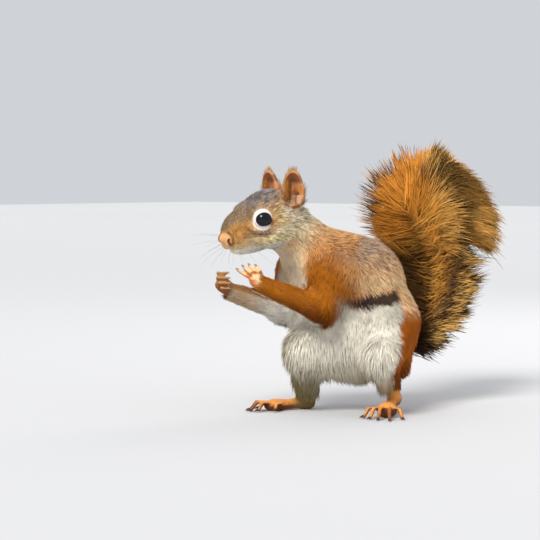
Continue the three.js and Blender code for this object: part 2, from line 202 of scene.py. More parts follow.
TOES = {  # root and tip
    "left": [
        [(12, -7, 5.2), (-1, -15, 0.7)],
        [(12.6, -8, 5.7), (3.2, -20.5, 0.7)],
        [(14, -9, 6), (8.4, -25, 0.7)],
        [(16, -9.5, 6), (15.8, -28, 0.7)],
        [(18.4, -8, 5.4), (24.6, -22.6, 0.7)],
    ],
    "right": [
        [(-45.5, 20.5, 3.8), (-50.5, 11.5, 0.7)],
        [(-50.3, 20.9, 4.3), (-61.5, 13, 0.7)],
        [(-51.5, 22, 4.6), (-66.4, 15.2, 0.7)],
        [(-51.2, 24.2, 4.6), (-67, 19.6, 0.7)],
        [(-49.5, 26, 4.2), (-61.6, 25, 0.7)],
    ],
}
TAIL_ACROSS = unit(vec(0.82, -0.57, 0))
TAIL = np.array([  # places of the tail's bones, and how far the hair reaches out from them
    [24, 50, 40, 10], [34, 56, 41, 14.5], [45, 61, 54, 16], [48, 63, 70, 18], [49, 62, 87.5, 20],
    [40, 59, 106, 22], [34, 57, 122, 22.5], [43, 64, 136, 22], [58, 77, 134, 20], [70, 84, 119, 18],
    [71, 82, 101, 16.5],
])


def smooth_path(points, steps):
    """A Catmull-Rom curve through the rows of points, with this many steps for each span."""
    p = np.vstack([2 * points[0] - points[1], points, 2 * points[-1] - points[-2]])
    out = []
    for i in range(1, len(p) - 2):
        t = np.linspace(0, 1, steps, endpoint=False)[:, None]
        a, b, c, d = p[i - 1 : i + 3]
        out.append(
            0.5 * (2 * b + (c - a) * t + (2 * a - 5 * b + 4 * c - d) * t**2 + (3 * b - 3 * c + d - a) * t**3)
        )
    return np.vstack(out + [points[-1:]])


def toe_path(root, tip):
    root, tip = np.array(root, float), np.array(tip, float)
    knuckle, pad = root + (tip - root) * 0.45, root + (tip - root) * 0.76
    knuckle[2], pad[2] = root[2] + 2.4, 1.4
    return np.array([root, knuckle + (pad - knuckle) * 0.1, pad, tip])


# ---------------- fields of distance


def mass(centre, radii, inset=0, pitch=0):
    """An ellipsoid, this much smaller than its radii say and tipped by pitch degrees."""
    c, s = math.cos(math.radians(pitch)), math.sin(math.radians(pitch))
    turn = np.array([[c, 0, s], [0, 1, 0], [-s, 0, c]])
    centre, radii = np.array(centre, float), np.array(radii, float) - inset

    def field(p):
        q = (p - centre) @ turn / radii
        k0, k1 = np.linalg.norm(q, axis=1), np.linalg.norm(q / radii, axis=1)
        return k0 * (k0 - 1) / np.maximum(k1, 1e-6)

    return field


def limb(a, b, ra, rb):
    """A rod from a to b with round ends, of radius ra and rb."""
    a, b = np.array(a, float), np.array(b, float)

    def field(p):
        t = np.clip((p - a) @ (b - a) / ((b - a) @ (b - a)), 0, 1)
        return np.linalg.norm(p - a - t[:, None] * (b - a), axis=1) - (ra + (rb - ra) * t)

    return field


def soften(a, b, k):
    h = np.maximum(k - np.abs(a - b), 0) / k
    return np.minimum(a, b) - h * h * k / 4


def melt(k, *fields):
    def field(p):
        d = fields[0](p)
        for f in fields[1:]:
            d = soften(d, f(p), k)
        return d

    return field


def on_head(field):
    return lambda p: field(mirrored(to_head(p)))


FAR_OFF = 30.0  # what a field is taken to be beyond its reach


def within(centre, reach, field):
    """A field that is only worked out this near to a point."""

    def local(p):
        near = np.abs(p - centre).max(1) < reach
        d = np.full(len(p), FAR_OFF)
        d[near] = field(p[near])
        return d

    return local


# The insets leave room for the coat, since the CAD's sizes run out to its tips.
upper_head = melt(
    4,
    mass((-9, 0, 0), (20, 15, 16.5), 1.7),
    mass((7, 0, -2.5), (16, 9, 11.5), 0.8, 14),
    mass((14, 4, -9.6), (7.5, 4.8, 5.4), 0.4, 8),
    mass((-6, 9.5, -8.5), (14, 8, 11), 1.8),
    mass((-2, 9.5, 5.5), (11, 5, 5.5), 1),
    mass((-4, 0, -12), (13, 9, 7), 2),
)
lower_jaw = melt(2, mass((8, 0, -15), (11, 5, 4.2), 0.6, -3), mass((0, 0, -14), (9, 7, 5), 1))
nose_pad = mass((21, 0, -6.3), (3, 3.1, 2.9))
skull = on_head(melt(1.6, melt(1.2, upper_head, nose_pad), lower_jaw))
trunk = melt(
    12,
    mass((-14, 20, 81), (25, 24, 26), 3),
    mass((0, 26, 75.5), (29.5, 24.5, 29.5), 3),
    mass((-3, 24, 48.5), (30.5, 26.5, 29.5), 4),
    mass((10, 33, 54.5), (23.5, 23.5, 26), 3.2),
)
ARM_REACH, LEG_REACH, HEAD_REACH = 46, 50, 46
LIMB_MELT = (13, 13, 12, 13)  # left arm and leg, right arm and leg
neck = limb(NAPE, WITHERS, 13.4, 18.2)
core = melt(9, trunk, neck, within(from_head((-6, 0, -2)), HEAD_REACH, skull))
limbs = []
for side, _ in SIDES:
    shoulder, elbow, wrist = ARM[side]
    arm = melt(5, mass(shoulder, (13, 12, 15), 2.2), limb(shoulder, elbow, 9.8, 7.2), limb(elbow, wrist, 7.2, 4.6))
    hip, knee, ankle, _ = LEG[side]
    leg = melt(
        6,
        mass((hip + knee) / 2, (15, 17, 19), 3.4),
        limb(hip, knee, 14.4, 9.4),
        limb(knee, ankle, 8.8, SLIMMEST[side] - 0.7),
        limb(*BREECHES[side], 5.4, 4.4),
    )
    limbs += [within((shoulder + wrist) / 2, ARM_REACH, arm), within((hip + ankle) / 2, LEG_REACH, leg)]


def flesh(p):
    d = core(p)
    for own, k in zip(limbs, LIMB_MELT):
        d = soften(d, own(p), k)
    return d


SLOPE_STEP, FURTHEST = 0.05, 2  # over which a field's slope is taken, and one move's limit


def settle(field, p):
    """Moves points towards the zero level of a field, in two rounds of two moves."""
    for _ in range(2):
        d = field(p)
        g = np.stack([field(p + step) - d for step in np.eye(3) * SLOPE_STEP], 1) / SLOPE_STEP
        steep = np.maximum((g * g).sum(1), 0.25)
        p = p + g * np.clip(-d / steep, -FURTHEST, FURTHEST)[:, None]
        p = p + g * np.clip(-field(p) / steep, -FURTHEST, FURTHEST)[:, None]
    return p


# ---------------- meshes


def read(items, key, columns, kind=float):
    """One attribute of all of Blender's items, as rows of so many columns."""
    values = np.zeros(len(items) * columns, kind)
    items.foreach_get(key, values)
    return values.reshape(-1, columns)


def write(items, key, values, kind=np.float32):
    items.foreach_set(key, np.asarray(values, kind).ravel())


def put(name, data):
    """A new object in the scene."""
    thing = bpy.data.objects.new(name, data)
    bpy.context.scene.collection.objects.link(thing)
    return thing


def shaped(thing):
    """The mesh that an object's modifiers make of it. The object itself goes."""
    evaluated = thing.evaluated_get(bpy.context.evaluated_depsgraph_get())
    mesh = bpy.data.meshes.new_from_object(evaluated)
    bpy.data.objects.remove(thing)
    return mesh


def normals_of(points, triangles):
    a, b, c = (points[triangles[:, i]] for i in range(3))
    face = np.cross(b - a, c - a)
    total = np.zeros_like(points)
    for i in range(3):
        for k in range(3):
            total[:, k] += np.bincount(triangles[:, i], face[:, k], len(points))
    return unit(total)


def new_mesh(name, points, faces):
    """A mesh from points in metres and an array of faces that all have as many corners."""
    mesh = bpy.data.meshes.new(name)
    mesh.vertices.add(len(points))
    write(mesh.vertices, "co", points)
    mesh.loops.add(faces.size)
    write(mesh.loops, "vertex_index", faces, np.int32)
    mesh.polygons.add(len(faces))
    write(mesh.polygons, "loop_start", np.arange(len(faces)) * faces.shape[1], np.int32)
    mesh.update(calc_edges=True)
    write(mesh.polygons, "use_smooth", np.ones(len(faces)), bool)
    return mesh


def new_piece(name, mesh, material, replaces=()):
    piece = put(name, mesh)
    mesh.materials.append(material)
    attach(piece, "root")
    if replaces:
        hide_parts(*replaces)


def add_marking(mesh, values):
    layer = mesh.color_attributes.new("Marking", "FLOAT_COLOR", "POINT")
    write(layer.data, "color", np.hstack([values, np.ones((len(values), 1))]))


def edges_of(quads):
    return np.vstack([quads[:, [i, (i + 1) % 4]] for i in range(4)])


class Surface:
    """Points and faces with what the coat needs to know about them."""

    def __init__(self, points, quads):
        self.points = points
        self.quads = quads
        self.triangles = np.vstack([quads[:, [0, 1, 2]], quads[:, [0, 2, 3]]])
        self.edges = np.unique(np.sort(edges_of(quads), axis=1), axis=0)
        self.count = np.maximum(np.bincount(self.edges.ravel(), minlength=len(points)), 1)

    def relax(self, values, times, share=0.5):
        """Values, each drawn towards the mean of its neighbours. Share may differ from point to point."""
        flat = values.reshape(len(values), -1).copy()
        share = np.broadcast_to(share, len(values))
        a, b = self.edges.T
        n = len(flat)
        for _ in range(times):
            for k in range(flat.shape[1]):
                column = flat[:, k]
                total = np.bincount(a, column[b], n) + np.bincount(b, column[a], n)
                flat[:, k] = column + share * (total / self.count - column)
        return flat.reshape(values.shape)

    def normals(self):
        return normals_of(self.points, self.triangles)


# ---------------- the skin

HEADS = ["head", "lower_jaw", "nose"]
TRUNKS = ["neck", "chest", "abdomen"]
PAIRED = ("upper_arm", "forearm", "hand", "thigh", "shank", "foot")
FLESH = HEADS + ["ear_left", "ear_right"] + TRUNKS + [f"{part}_{side}" for part in PAIRED for side, _ in SIDES]
TAILS = ["tail_base", "tail_middle", "tail_tip"]
VOXEL = 0.00042  # metres
OVERLAP = 0.4  # by which neighbouring pieces grow into each other before they are joined


def welded(node):
    """A CAD node's points, each only once, and its triangles."""
    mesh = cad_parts[node].data
    points = read(mesh.vertices, "co", 3)
    mesh.calc_loop_triangles()
    triangles = read(mesh.loop_triangles, "vertices", 3, np.int32)
    _, first, label = np.unique(np.round(points * 1e6), axis=0, return_index=True, return_inverse=True)
    return to_pose(points[first]), label.ravel()[triangles]


def closed_rings(rings, sides):
    """Triangles of a closed tube: its points are so many rings, then one at its start and one at its end."""
    i, j = np.arange(rings - 1)[:, None] * sides, np.arange(sides)
    k = (j + 1) % sides
    a, b, end = i + j, i + k, rings * sides + 0 * j
    walls = np.stack([a, b, b + sides, a, b + sides, a + sides], -1)
    caps = np.stack([end, k, j, end + 1, end - sides + j, end - sides + k], -1)
    return np.vstack([walls.reshape(-1, 3), caps.reshape(-1, 3)])


ODD_WAY = (0.31, 0.22, 0.93)  # that no tube follows


def tube(path, radii, sides):
    """A closed tube along a path, as points and triangles."""
    way = unit(np.gradient(path, axis=0))
    side = unit(np.cross(way, ODD_WAY))
    other = np.cross(way, side)
    turn = np.linspace(0, 2 * math.pi, sides, endpoint=False)
    ring = side[:, None] * np.cos(turn)[:, None] + other[:, None] * np.sin(turn)[:, None]
    points = (path[:, None] + ring * np.asarray(radii)[:, None, None]).reshape(-1, 3)
    return np.vstack([points, path[:1], path[-1:]]), closed_rings(len(path), sides)


tail_path = smooth_path(TAIL[:, :3], 12)
tail_radii = np.interp(np.linspace(0, 1, len(tail_path)), [0, 0.1, 1], [5, 3.6, 1.2])  # of the flesh

EAR_HEIGHT, EAR_WIDTH, EAR_DEPTH = 23, 14.2, 9.4
EAR_FOOT = vec(-20.8, 12.4, 12.5 - 0.45 * EAR_HEIGHT)
EAR_FOLDS = (  # ridges inside an ear: their lines in its frame, and how thick they are
    ([(-0.8, -4.2, 1), (-0.2, -4.5, 7), (-0.2, -4.3, 13), (-1.0, -3.2, 18)], 2.5),
    ([(-2.4, 1.8, 8), (-1.6, 2.2, 11), (-2.4, 2.0, 14)], 2.5),
    ([(-1.6, 4.6, 1), (-1.4, 4.8, 5), (-2.0, 4.4, 9)], 1.7),
)


def ear_axes(out):
    """The way an ear opens, the way across it towards its back edge, and the way up it, in the head frame."""
    up = unit(vec(-0.1, 0.12 * out, 1))
    across = unit(np.cross(up, vec(0.55, 0.84, 0) if out > 0 else vec(0.94, 0.34, 0)))
    return np.array([np.cross(across, up), across, up])


def from_ear(e, out):
    return e @ ear_axes(out) + EAR_FOOT * [1, out, 1]


def ear_place(h):
    """Points of the head frame in the frame of their own ear, which opens towards X and stands along Z."""
    return np.where(h[:, 1:2] > 0, *((h - EAR_FOOT * [1, out, 1]) @ ear_axes(out).T for out in (1, -1)))


def ear_inside(h):
    """How far inside the ear's outer shell points are, and their places in the ear's frame."""
    e = ear_place(h)
    shell = mass((0, 0, EAR_HEIGHT / 2), (EAR_DEPTH / 2, EAR_WIDTH / 2, EAR_HEIGHT / 2))
    return -shell(e), e


def rough_flesh():
    """The flesh as closed pieces that overlap: points, triangles, and the node that each triangle is of."""
    parts = []
    for node in FLESH + ["eye_left", "eye_right"]:
        points, triangles = welded(node)
        if node in HEADS + TRUNKS or node.split("_")[0] in ("upper", "forearm", "thigh", "shank", "eye"):
            points = points + normals_of(points, triangles) * OVERLAP
        parts.append((points, triangles, FLESH.index("head" if "eye" in node else node)))
    inside_rump = np.array([[10, 33, 52]])
    parts.append((*tube(np.vstack([inside_rump, tail_path]), np.insert(tail_radii, 0, 8), 16), len(FLESH)))
    for side, out in SIDES:
        for line, thick in EAR_FOLDS:
            line = from_head(from_ear(smooth_path(np.array(line, float), 6), out))
            s = np.linspace(-0.96, 0.96, len(line))
            parts.append((*tube(line, thick * np.sqrt(1 - s * s), 12), FLESH.index(f"ear_{side}")))
    offsets = np.cumsum([0] + [len(points) for points, _, _ in parts])
    triangles = np.vstack([part[1] + offset for part, offset in zip(parts, offsets)])
    owners = np.concatenate([np.full(len(part[1]), part[2]) for part in parts])
    return np.vstack([part[0] for part in parts]), triangles, owners


def largest_piece(points, quads):
    """Only the biggest of the pieces that hang together."""
    label = np.arange(len(points))
    sides = edges_of(quads)
    while True:
        before = label.copy()
        low = np.minimum(label[sides[:, 0]], label[sides[:, 1]])
        np.minimum.at(label, sides[:, 0], low)
        np.minimum.at(label, sides[:, 1], low)
        for _ in range(4):
            label = label[label]
        if (label == before).all():
            break
    keep = label == np.bincount(label).argmax()
    number = np.cumsum(keep) - 1
    return points[keep], number[quads[keep[quads[:, 0]]]]


def flesh_surface():
    """One closed surface round all the flesh, with the CAD node that each point belongs to."""
    points, triangles, owners = rough_flesh()
    rough = put("rough", new_mesh("rough", points / 1000, triangles))
    remesh = rough.modifiers.new("remesh", "REMESH")
    remesh.mode, remesh.voxel_size, remesh.adaptivity = "VOXEL", VOXEL, 0
    mesh = shaped(rough)
    quads = read(mesh.loops, "vertex_index", 1, np.int32).reshape(-1, 4)
    fine, quads = largest_piece(read(mesh.vertices, "co", 3) * 1000, quads)
    bpy.data.meshes.remove(mesh)
    tree = BVHTree.FromPolygons(points.tolist(), triangles.tolist())
    owner = np.array([owners[tree.find_nearest(Vector(p))[2]] for p in fine.tolist()])
    return Surface(fine, quads), owner


def region_of(node):
    return "head" if node in HEADS else node.replace("_left", "").replace("_right", "")


NODES = FLESH + ["tail"]
REGIONS = ["head"] + TRUNKS + [*PAIRED, "ear", "tail"]
skin, owner = flesh_surface()
region = np.array([REGIONS.index(region_of(node)) for node in NODES])[owner]
weights = skin.relax(np.eye(len(REGIONS))[region], 10, 0.8)
SHARE = dict(zip(REGIONS, weights.T))  # of each region in each point of the skin
on_left = np.array([node.endswith("_left") for node in NODES])[owner]
digits = SHARE["hand"] + SHARE["foot"]
ears = SHARE["ear"]
own_shape = np.clip(digits + ears + SHARE["tail"], 0, 1)  # keeps the CAD's own shape
skin.points = skin.relax(skin.points, 4)
by_field = 1 - ramp(0.3, 0.8, own_shape)
settled = settle(flesh, skin.points)
skin.points = skin.points + (settled - skin.points) * by_field[:, None]
skin.points -= skin.normals() * ((digits * 0.3 + ears * 0.12) * (1 - by_field))[:, None]
skin.points = skin.relax(skin.points, 3)

# ---------------- the face

EYE_AXIS = unit(vec(0.3, 1, 0.1))  # in the head frame, with Y outwards
EYE_FRONT = unit(np.cross(EYE_AXIS, (0, 0, -1)))
EYE_UP = -np.cross(EYE_FRONT, EYE_AXIS)
EYE_CENTRE = vec(0, EYE_OUT, 0)
LID_THICK, LID_TUCK = 0.55, 0.8  # the lids' edge over the eyeball, and the skin behind it


def eye_place(q):
    """Where points of the mirrored head frame lie round the eye: their distance from its middle, how far outside
    the opening of the lids they are, over the eyeball and across it, and their bearing."""
    v = q - EYE_CENTRE
    far = np.linalg.norm(v, axis=1)
    x, y, z = v @ EYE_FRONT, v @ EYE_UP, v @ EYE_AXIS
    bearing = np.arctan2(y, x)
    off = np.arccos(np.clip(z / np.maximum(far, 1e-6), -1, 1))
    across = np.hypot(x, y) - EYE_RADIUS * np.sin(opening(bearing))
    across = np.where(z > -2, across, 9)
    return far, (off - opening(bearing)) * EYE_RADIUS, across, bearing


def at_bearing(bearing, degrees, width):
    return bell(np.angle(np.exp(1j * (bearing - math.radians(degrees)))), width)


def opening(bearing):
    """The angle from the eye's axis to the edge of the lids, wider at both corners."""
    wide = math.radians(44.5) + math.radians(9) * np.cos(bearing) ** 2
    wide = wide + math.radians(13) * at_bearing(bearing, -28, 0.42)
    return wide + math.radians(2) * at_bearing(bearing, 172, 0.4)


MOUTH = np.array([(21.5, 0, -12.6), (18.5, 3.6, -13.9), (13, 6.4, -14), (8.5, 7.6, -12.9), (5.5, 8.6, -11.8)])
NOSTRIL = np.array([(20.6, 5.0, -7.5), (21.1, 4.6, -8.3), (21.0, 5.0, -9.3), (20.7, 5.4, -10.1)])
SEPTUM = np.array([(22.6, 0, -3.0), (24.2, 0, -5.2), (24.5, 0, -7.4), (23.6, 0, -9.6), (21.6, 0, -12.2)])
WING = np.array([(20.0, 5.9, -11.4), (19.0, 6.7, -9.2), (18.9, 6.7, -7.2), (19.2, 5.9, -5.2), (19.8, 4.2, -3.6)])
NOSE_SKIN = mass((19.8, 0, -7.4), (5.4, 6.0, 4.6))
EAR_SLIT = np.array([(0, -0.4, 7.4), (0, 3.0, 7.9), (0, 1.3, 7.5), (0, 0.9, 3.0), (0, 3.6, 0.4)])


def shape_ears(points, share):
    """Draws each ear in towards its tip, and cuts the folds at its foot."""
    h = to_head(points)
    e = ear_place(h)
    height = e[:, 2] / EAR_HEIGHT
    narrow = 1 - 0.08 * ramp(0.35, 0.7, height) + 0.075 * bell(height - 0.9, 0.08)
    drawn = e * np.stack([1 - 0.12 * ramp(0.4, 0.9, height), narrow, np.ones(len(e))], 1)
    drawn[:, 0] -= bell(nearest_on_path(e * [0, 1, 1], EAR_SLIT)[0], 0.5) * (e[:, 0] > -2.5)
    back = np.where(h[:, 1:2] > 0, from_ear(drawn, 1), from_ear(drawn, -1))
    return points + (from_head(back) - points) * ramp(0.3, 0.7, share)[:, None]


def sculpt_face(points, normals):
    """Draws the skin round the eyeballs to the edge of the lids, and cuts the mouth, nostrils and nose."""
    h = to_head(points)
    side = np.sign(h[:, 1])
    q = mirrored(h)
    near = np.linalg.norm(q - vec(4, 4, -2), axis=1) < 32

    q += vec(0.9, 0, -0.1) * bell(np.linalg.norm(q - vec(22, 0, -7), axis=1), 4.2)[:, None]
    far, outside, _, _ = eye_place(q)
    lid = EYE_RADIUS + LID_THICK - 0.12 * np.maximum(outside - 0.3, 0)
    inner = EYE_RADIUS - LID_TUCK
    goal = lid + (np.maximum(far, lid) - lid) * ramp(0.4, 3.6, outside)
    goal = inner + (goal - inner) * ramp(-0.55, 0.25, outside)
    v = q - EYE_CENTRE
    moved = EYE_CENTRE + unit(v) * goal[:, None]
    amount = (near & (far < 11) & (v @ EYE_AXIS > -1.5)) * (1 - ramp(4.0, 7.5, outside))
    q = q + (moved - q) * amount[:, None]

    n = normals @ HEAD.T
    n[:, 1] *= side
    mouth, along = nearest_on_path(q, MOUTH)
    dent = 0.8 * bell(mouth, 0.6) * (1 - ramp(0.85, 1, along))
    for line, deep, width in ((NOSTRIL, 0.9, 0.55), (SEPTUM, 0.6, 0.5), (WING, 0.45, 0.6)):
        dent += deep * bell(nearest_on_path(q, line)[0], width)
    q = q - n * (dent * near)[:, None]
    q[:, 1] *= side
    return from_head(q)


on_face = SHARE["head"] > 0.3
skin.points = np.where(on_face[:, None], sculpt_face(skin.points, skin.normals()), skin.points)
skin.points = shape_ears(skin.points, ears)
skin.points = skin.relax(skin.points, 1, np.where(on_face, 0.25, 0.4))
normals = skin.normals()

# ---------------- colours of the coat

CROWN, OLIVE, BUFF = linear(120, 114, 116), linear(210, 160, 108), linear(248, 212, 172)
MUZZLE, BRIDGE, NOSE = linear(166, 114, 44), linear(112, 92, 66), linear(226, 170, 116)
CHEEK, PALE, WHITE = linear(226, 200, 158), linear(228, 200, 148), linear(232, 224, 206)
BACK, SPINE, FLANK = linear(180, 148, 122), linear(164, 140, 132), linear(230, 170, 106)
RUFOUS, DEEP, BAND = linear(168, 96, 14), linear(120, 60, 6), linear(176, 94, 20)
STRIPE, LIDS, FOOT = linear(30, 26, 32), linear(48, 30, 26), linear(240, 162, 82)
# The second colour is the dark brown high in each ear's hollow, painted shade under the rim.
EAR, EAR_HOLLOW_SHADE = linear(156, 98, 36), linear(138, 84, 50)


def layers(base, *marks):
    """A colour with marks laid over it in turn: each is a colour and how far it covers what is there."""
    for tint, cover in marks:
        base = mix(base, tint, cover)
    return base


def blend(old, new, share):
    return old * (1 - share) + new * share


def mirrored_body(p):
    """Points of the trunk, with its right side brought over to its left. Also how far in front of and to the
    side of the spine's own line they are."""
    t = np.clip((p[:, 2] - 52) / 30, -0.6, 1.4)
    middle = np.stack([5 - 30.5 * t, 29.5 - 12.5 * t, p[:, 2]], 1)
    turn = np.radians(60.5 - 23.6 * t)
    front = np.stack([-np.cos(turn), -np.sin(turn), 0 * t], 1)
    left = np.stack([np.sin(turn), -np.cos(turn), 0 * t], 1)
    f, l = ((p - middle) * front).sum(1), ((p - middle) * left).sum(1)
    return middle + front * f[:, None] + left * np.abs(l)[:, None], f, l


def leg_band(p, q, n, l):
    """The rusty band down the outer back edge of each leg."""
    edge = np.interp(p[:, 2], [14, 17.6, 27, 43.7, 58, 70], [17.6, 18.5, 19.8, 20.4, 22.8, 23.6])
    wander = waves(p, 6, 3) * 0.6
    left = ramp(-1.2, 1.2, p[:, 0] + wander - edge)
    behind = ramp(0.1, 0.45, n @ unit(vec(-0.05, 0.99, 0.1))) * ramp(-1.4, 1.4, q[:, 0] + wander - edge)
    return np.where(l > 0, left, behind)


def trunk_marks(p, n, spine):
    """Trunk, legs and arms: their colour, how grizzled it is, and how long their hair is."""
    q, f, l, facing = spine
    up = p[:, 2]
    x, z = q[:, 0] + waves(p, 6, 3) * 0.7, q[:, 2] + waves(p, 5, 4) * 0.8
    line = np.interp(x, [-45, -25, -11.6, 10, 24.5, 30], [56.5, 58.5, 63, 65.5, 68, 69])
    behind = leg_band(p, q, n, l)
    low = ramp(0.8, -0.8, z - line)
    below = low * (1 - behind)
    lower = mix(WHITE, BAND * (1 - 0.5 * ramp(36, 24, z))[:, None], behind * ramp(70, 60, z))
    ventral = ramp(0.45, 0.8, facing) * ramp(-2, 8, f) * ramp(54, 60, z)
    white = np.clip(below + ventral, 0, 1)
    body = layers(
        mix(FLANK, BACK, np.maximum(ramp(84, 100, z), 0.7 * ramp(-12, -26, f))),
        # The flank's own golden tone, made lighter low on the rear flank as a painted pool of light.
        (linear(255, 194, 140), ramp(94, 80, z) * ramp(-12, 2, x) * 0.8),
        (SPINE, ramp(12, 3, np.abs(l)) * ramp(-4, -14, f) * 0.8),
        (RUFOUS, ramp(-8, 10, f) * ramp(98, 84, z) * 0.8),
        (lower, below + behind * ramp(68, 56, z)),
        (WHITE, ventral),
    )
    # Painted shade: the white is made 0.74 as dark near its top edge, toning down the strong key light there.
    body = mix(body, body * 0.74, white * ramp(52, 62, z))
    # Painted shade: the underside low down and the far (right) leg's inner side are darkened towards olive.
    right_leg_shade = ramp(2, -6, l) * ramp(58, 40, up) * (1 - behind) * ramp(-0.2, 0.5, n[:, 1] + 0.6)
    shade = ramp(44, 20, up) * (1 - behind) * (0.6 + 0.4 * ramp(-20, -30, p[:, 0]))
    body = mix(body, linear(128, 112, 64), np.maximum(shade, right_leg_shade) * 0.92)
    length = 5.6 + 2.4 * white + 3.2 * white * ramp(50, 38, up) - 0.6 * SHARE["shank"] * (1 - white)
    length = length * (1 - 0.35 * ramp(24, 15, up)) * (1 - 0.4 * white * ramp(14, 19, p[:, 0]))

    fore, arms = SHARE["forearm"], SHARE["upper_arm"] + SHARE["forearm"]
    away = np.where(on_left, 0.8, -0.8)
    inner = ramp(0.0, 0.5, n[:, 1] * away - 0.5 * n[:, 2]) * ramp(0.6, 0.2, n[:, 2])
    arm = layers(
        RUFOUS,
        (DEEP, ramp(72, 58, up) * 0.9),
        (linear(244, 238, 224), inner * np.where(on_left, ramp(0.4, 0.9, fore), 1) * 0.9),
    )
    warm = ramp(-30, 0, f) * ramp(106, 90, z) * ramp(4, -22, x) * (1 - ventral) * (1 - low)
    thick = np.interp(x, [-20, -11, 6, 22, 27], [3.4, 5.6, 7.4, 7.2, 4.5])
    stripe = ramp(-0.8, 0.6, z - line) * ramp(0.9, -0.7, z - line - thick)
    stripe *= ramp(-20, -13, x) * ramp(24, 20, x) * (1 - ventral) * (1 - behind)
    reach = ramp(0.1, 0.9, arms) * (1 - 0.4 * ramp(80, 96, up)) * (1 - 0.75 * ramp(-17, -4, p[:, 0]))
    body = layers(body, (RUFOUS, warm * 0.85), (STRIPE, stripe * 0.95), (arm, reach * (1 - stripe)))
    grizzle = 0.5 * (1 - white) * (1 - arms) * (1 - 0.7 * warm) * (1 - stripe) + 0.08 * arms
    rusty = ramp(0.1, 0.03, body[:, 2])
    return body, grizzle * (1 - (SHARE["thigh"] + SHARE["shank"]) * rusty), blend(length, 4.6, fore)


def foot_colour(p, n):
    up = p[:, 2]
    sole = np.linalg.norm(p - LEG["left"][3], axis=1)
    # Painted shade under the ball of the left foot, between its toes and on low faces that look down.
    shade_under = ramp(8, 7, sole) * ramp(0.85, 0.4, n[:, 2]) * ramp(0, -0.3, n[:, 1])
    shade_under = np.maximum(ramp(0.3, -0.3, n[:, 2]), shade_under)
    foot = layers(
        linear(190, 112, 56),
        (FOOT, ramp(-0.1, 0.7, n[:, 2] + waves(p, 1.6, 8) * 0.3)),
        (linear(250, 190, 128), ramp(0.75, 1, n[:, 2]) * ramp(6.5, 4.5, up) * 0.6),
        (FOOT * 0.9, ramp(7, 10, up)),
        (linear(100, 54, 34), shade_under * ramp(7.2, 5, up) * 0.9),
        (linear(96, 54, 44), np.where(on_left, ramp(-17, -23, p[:, 1]), ramp(-57, -63, p[:, 0])) * 0.75),
    )
    # Painted shade: the far (right) foot is made darker, and olive towards its back.
    right = mix(foot * 0.9, linear(128, 104, 58), ramp(-42, -34, p[:, 0]) * 0.85)
    return np.where(on_left[:, None], foot, right)


def hand_colour(n):
    # Each hand is paler on the faces that look up, partly its own pale fingers and partly a painted highlight; the
    # far (right) hand is a darker copy, painted shade.
    left = mix(linear(196, 120, 62), linear(250, 206, 158), ramp(0.1, 0.8, n[:, 2] - 0.4 * n[:, 1]))
    right = mix(linear(134, 84, 44), linear(190, 138, 88), ramp(0, 0.9, n[:, 2] - 0.5 * n[:, 1]))
    return np.where(on_left[:, None], left, right)


def neck_colour(p, h, f, facing):
    a, b, c = mirrored(h).T
    up = p[:, 2]
    return layers(
        mix(OLIVE, FLANK, ramp(-2, 6, c)),
        (BUFF, bell(c + 7, 8) * ramp(-50, -36, a)),
        (mix(BACK, FLANK, 0.15), ramp(-30, -48, a) * ramp(-22, -4, c)),
        (PALE, ramp(-9, -17, c) * ramp(-32, -18, a) * 0.75),
        (FLANK * 0.85, ramp(-22, -34, a) * ramp(-4, -14, c) * 0.8),
        (RUFOUS * 1.1, ramp(112, 88, up) * ramp(10, 16, b) * 0.9),
        # Painted light: the throat under the head is made paler, standing in for light bounced up from the floor.
        (BUFF * 1.1, ramp(-14, -20, c) * ramp(-34, -24, a) * ramp(80, 85, up) * ramp(15, 9, b) * 0.8),
        (mix(WHITE, BUFF, 0.5), ramp(0.72, 0.95, facing) * ramp(0, 6, f) * ramp(-10, -16, c)),
    )


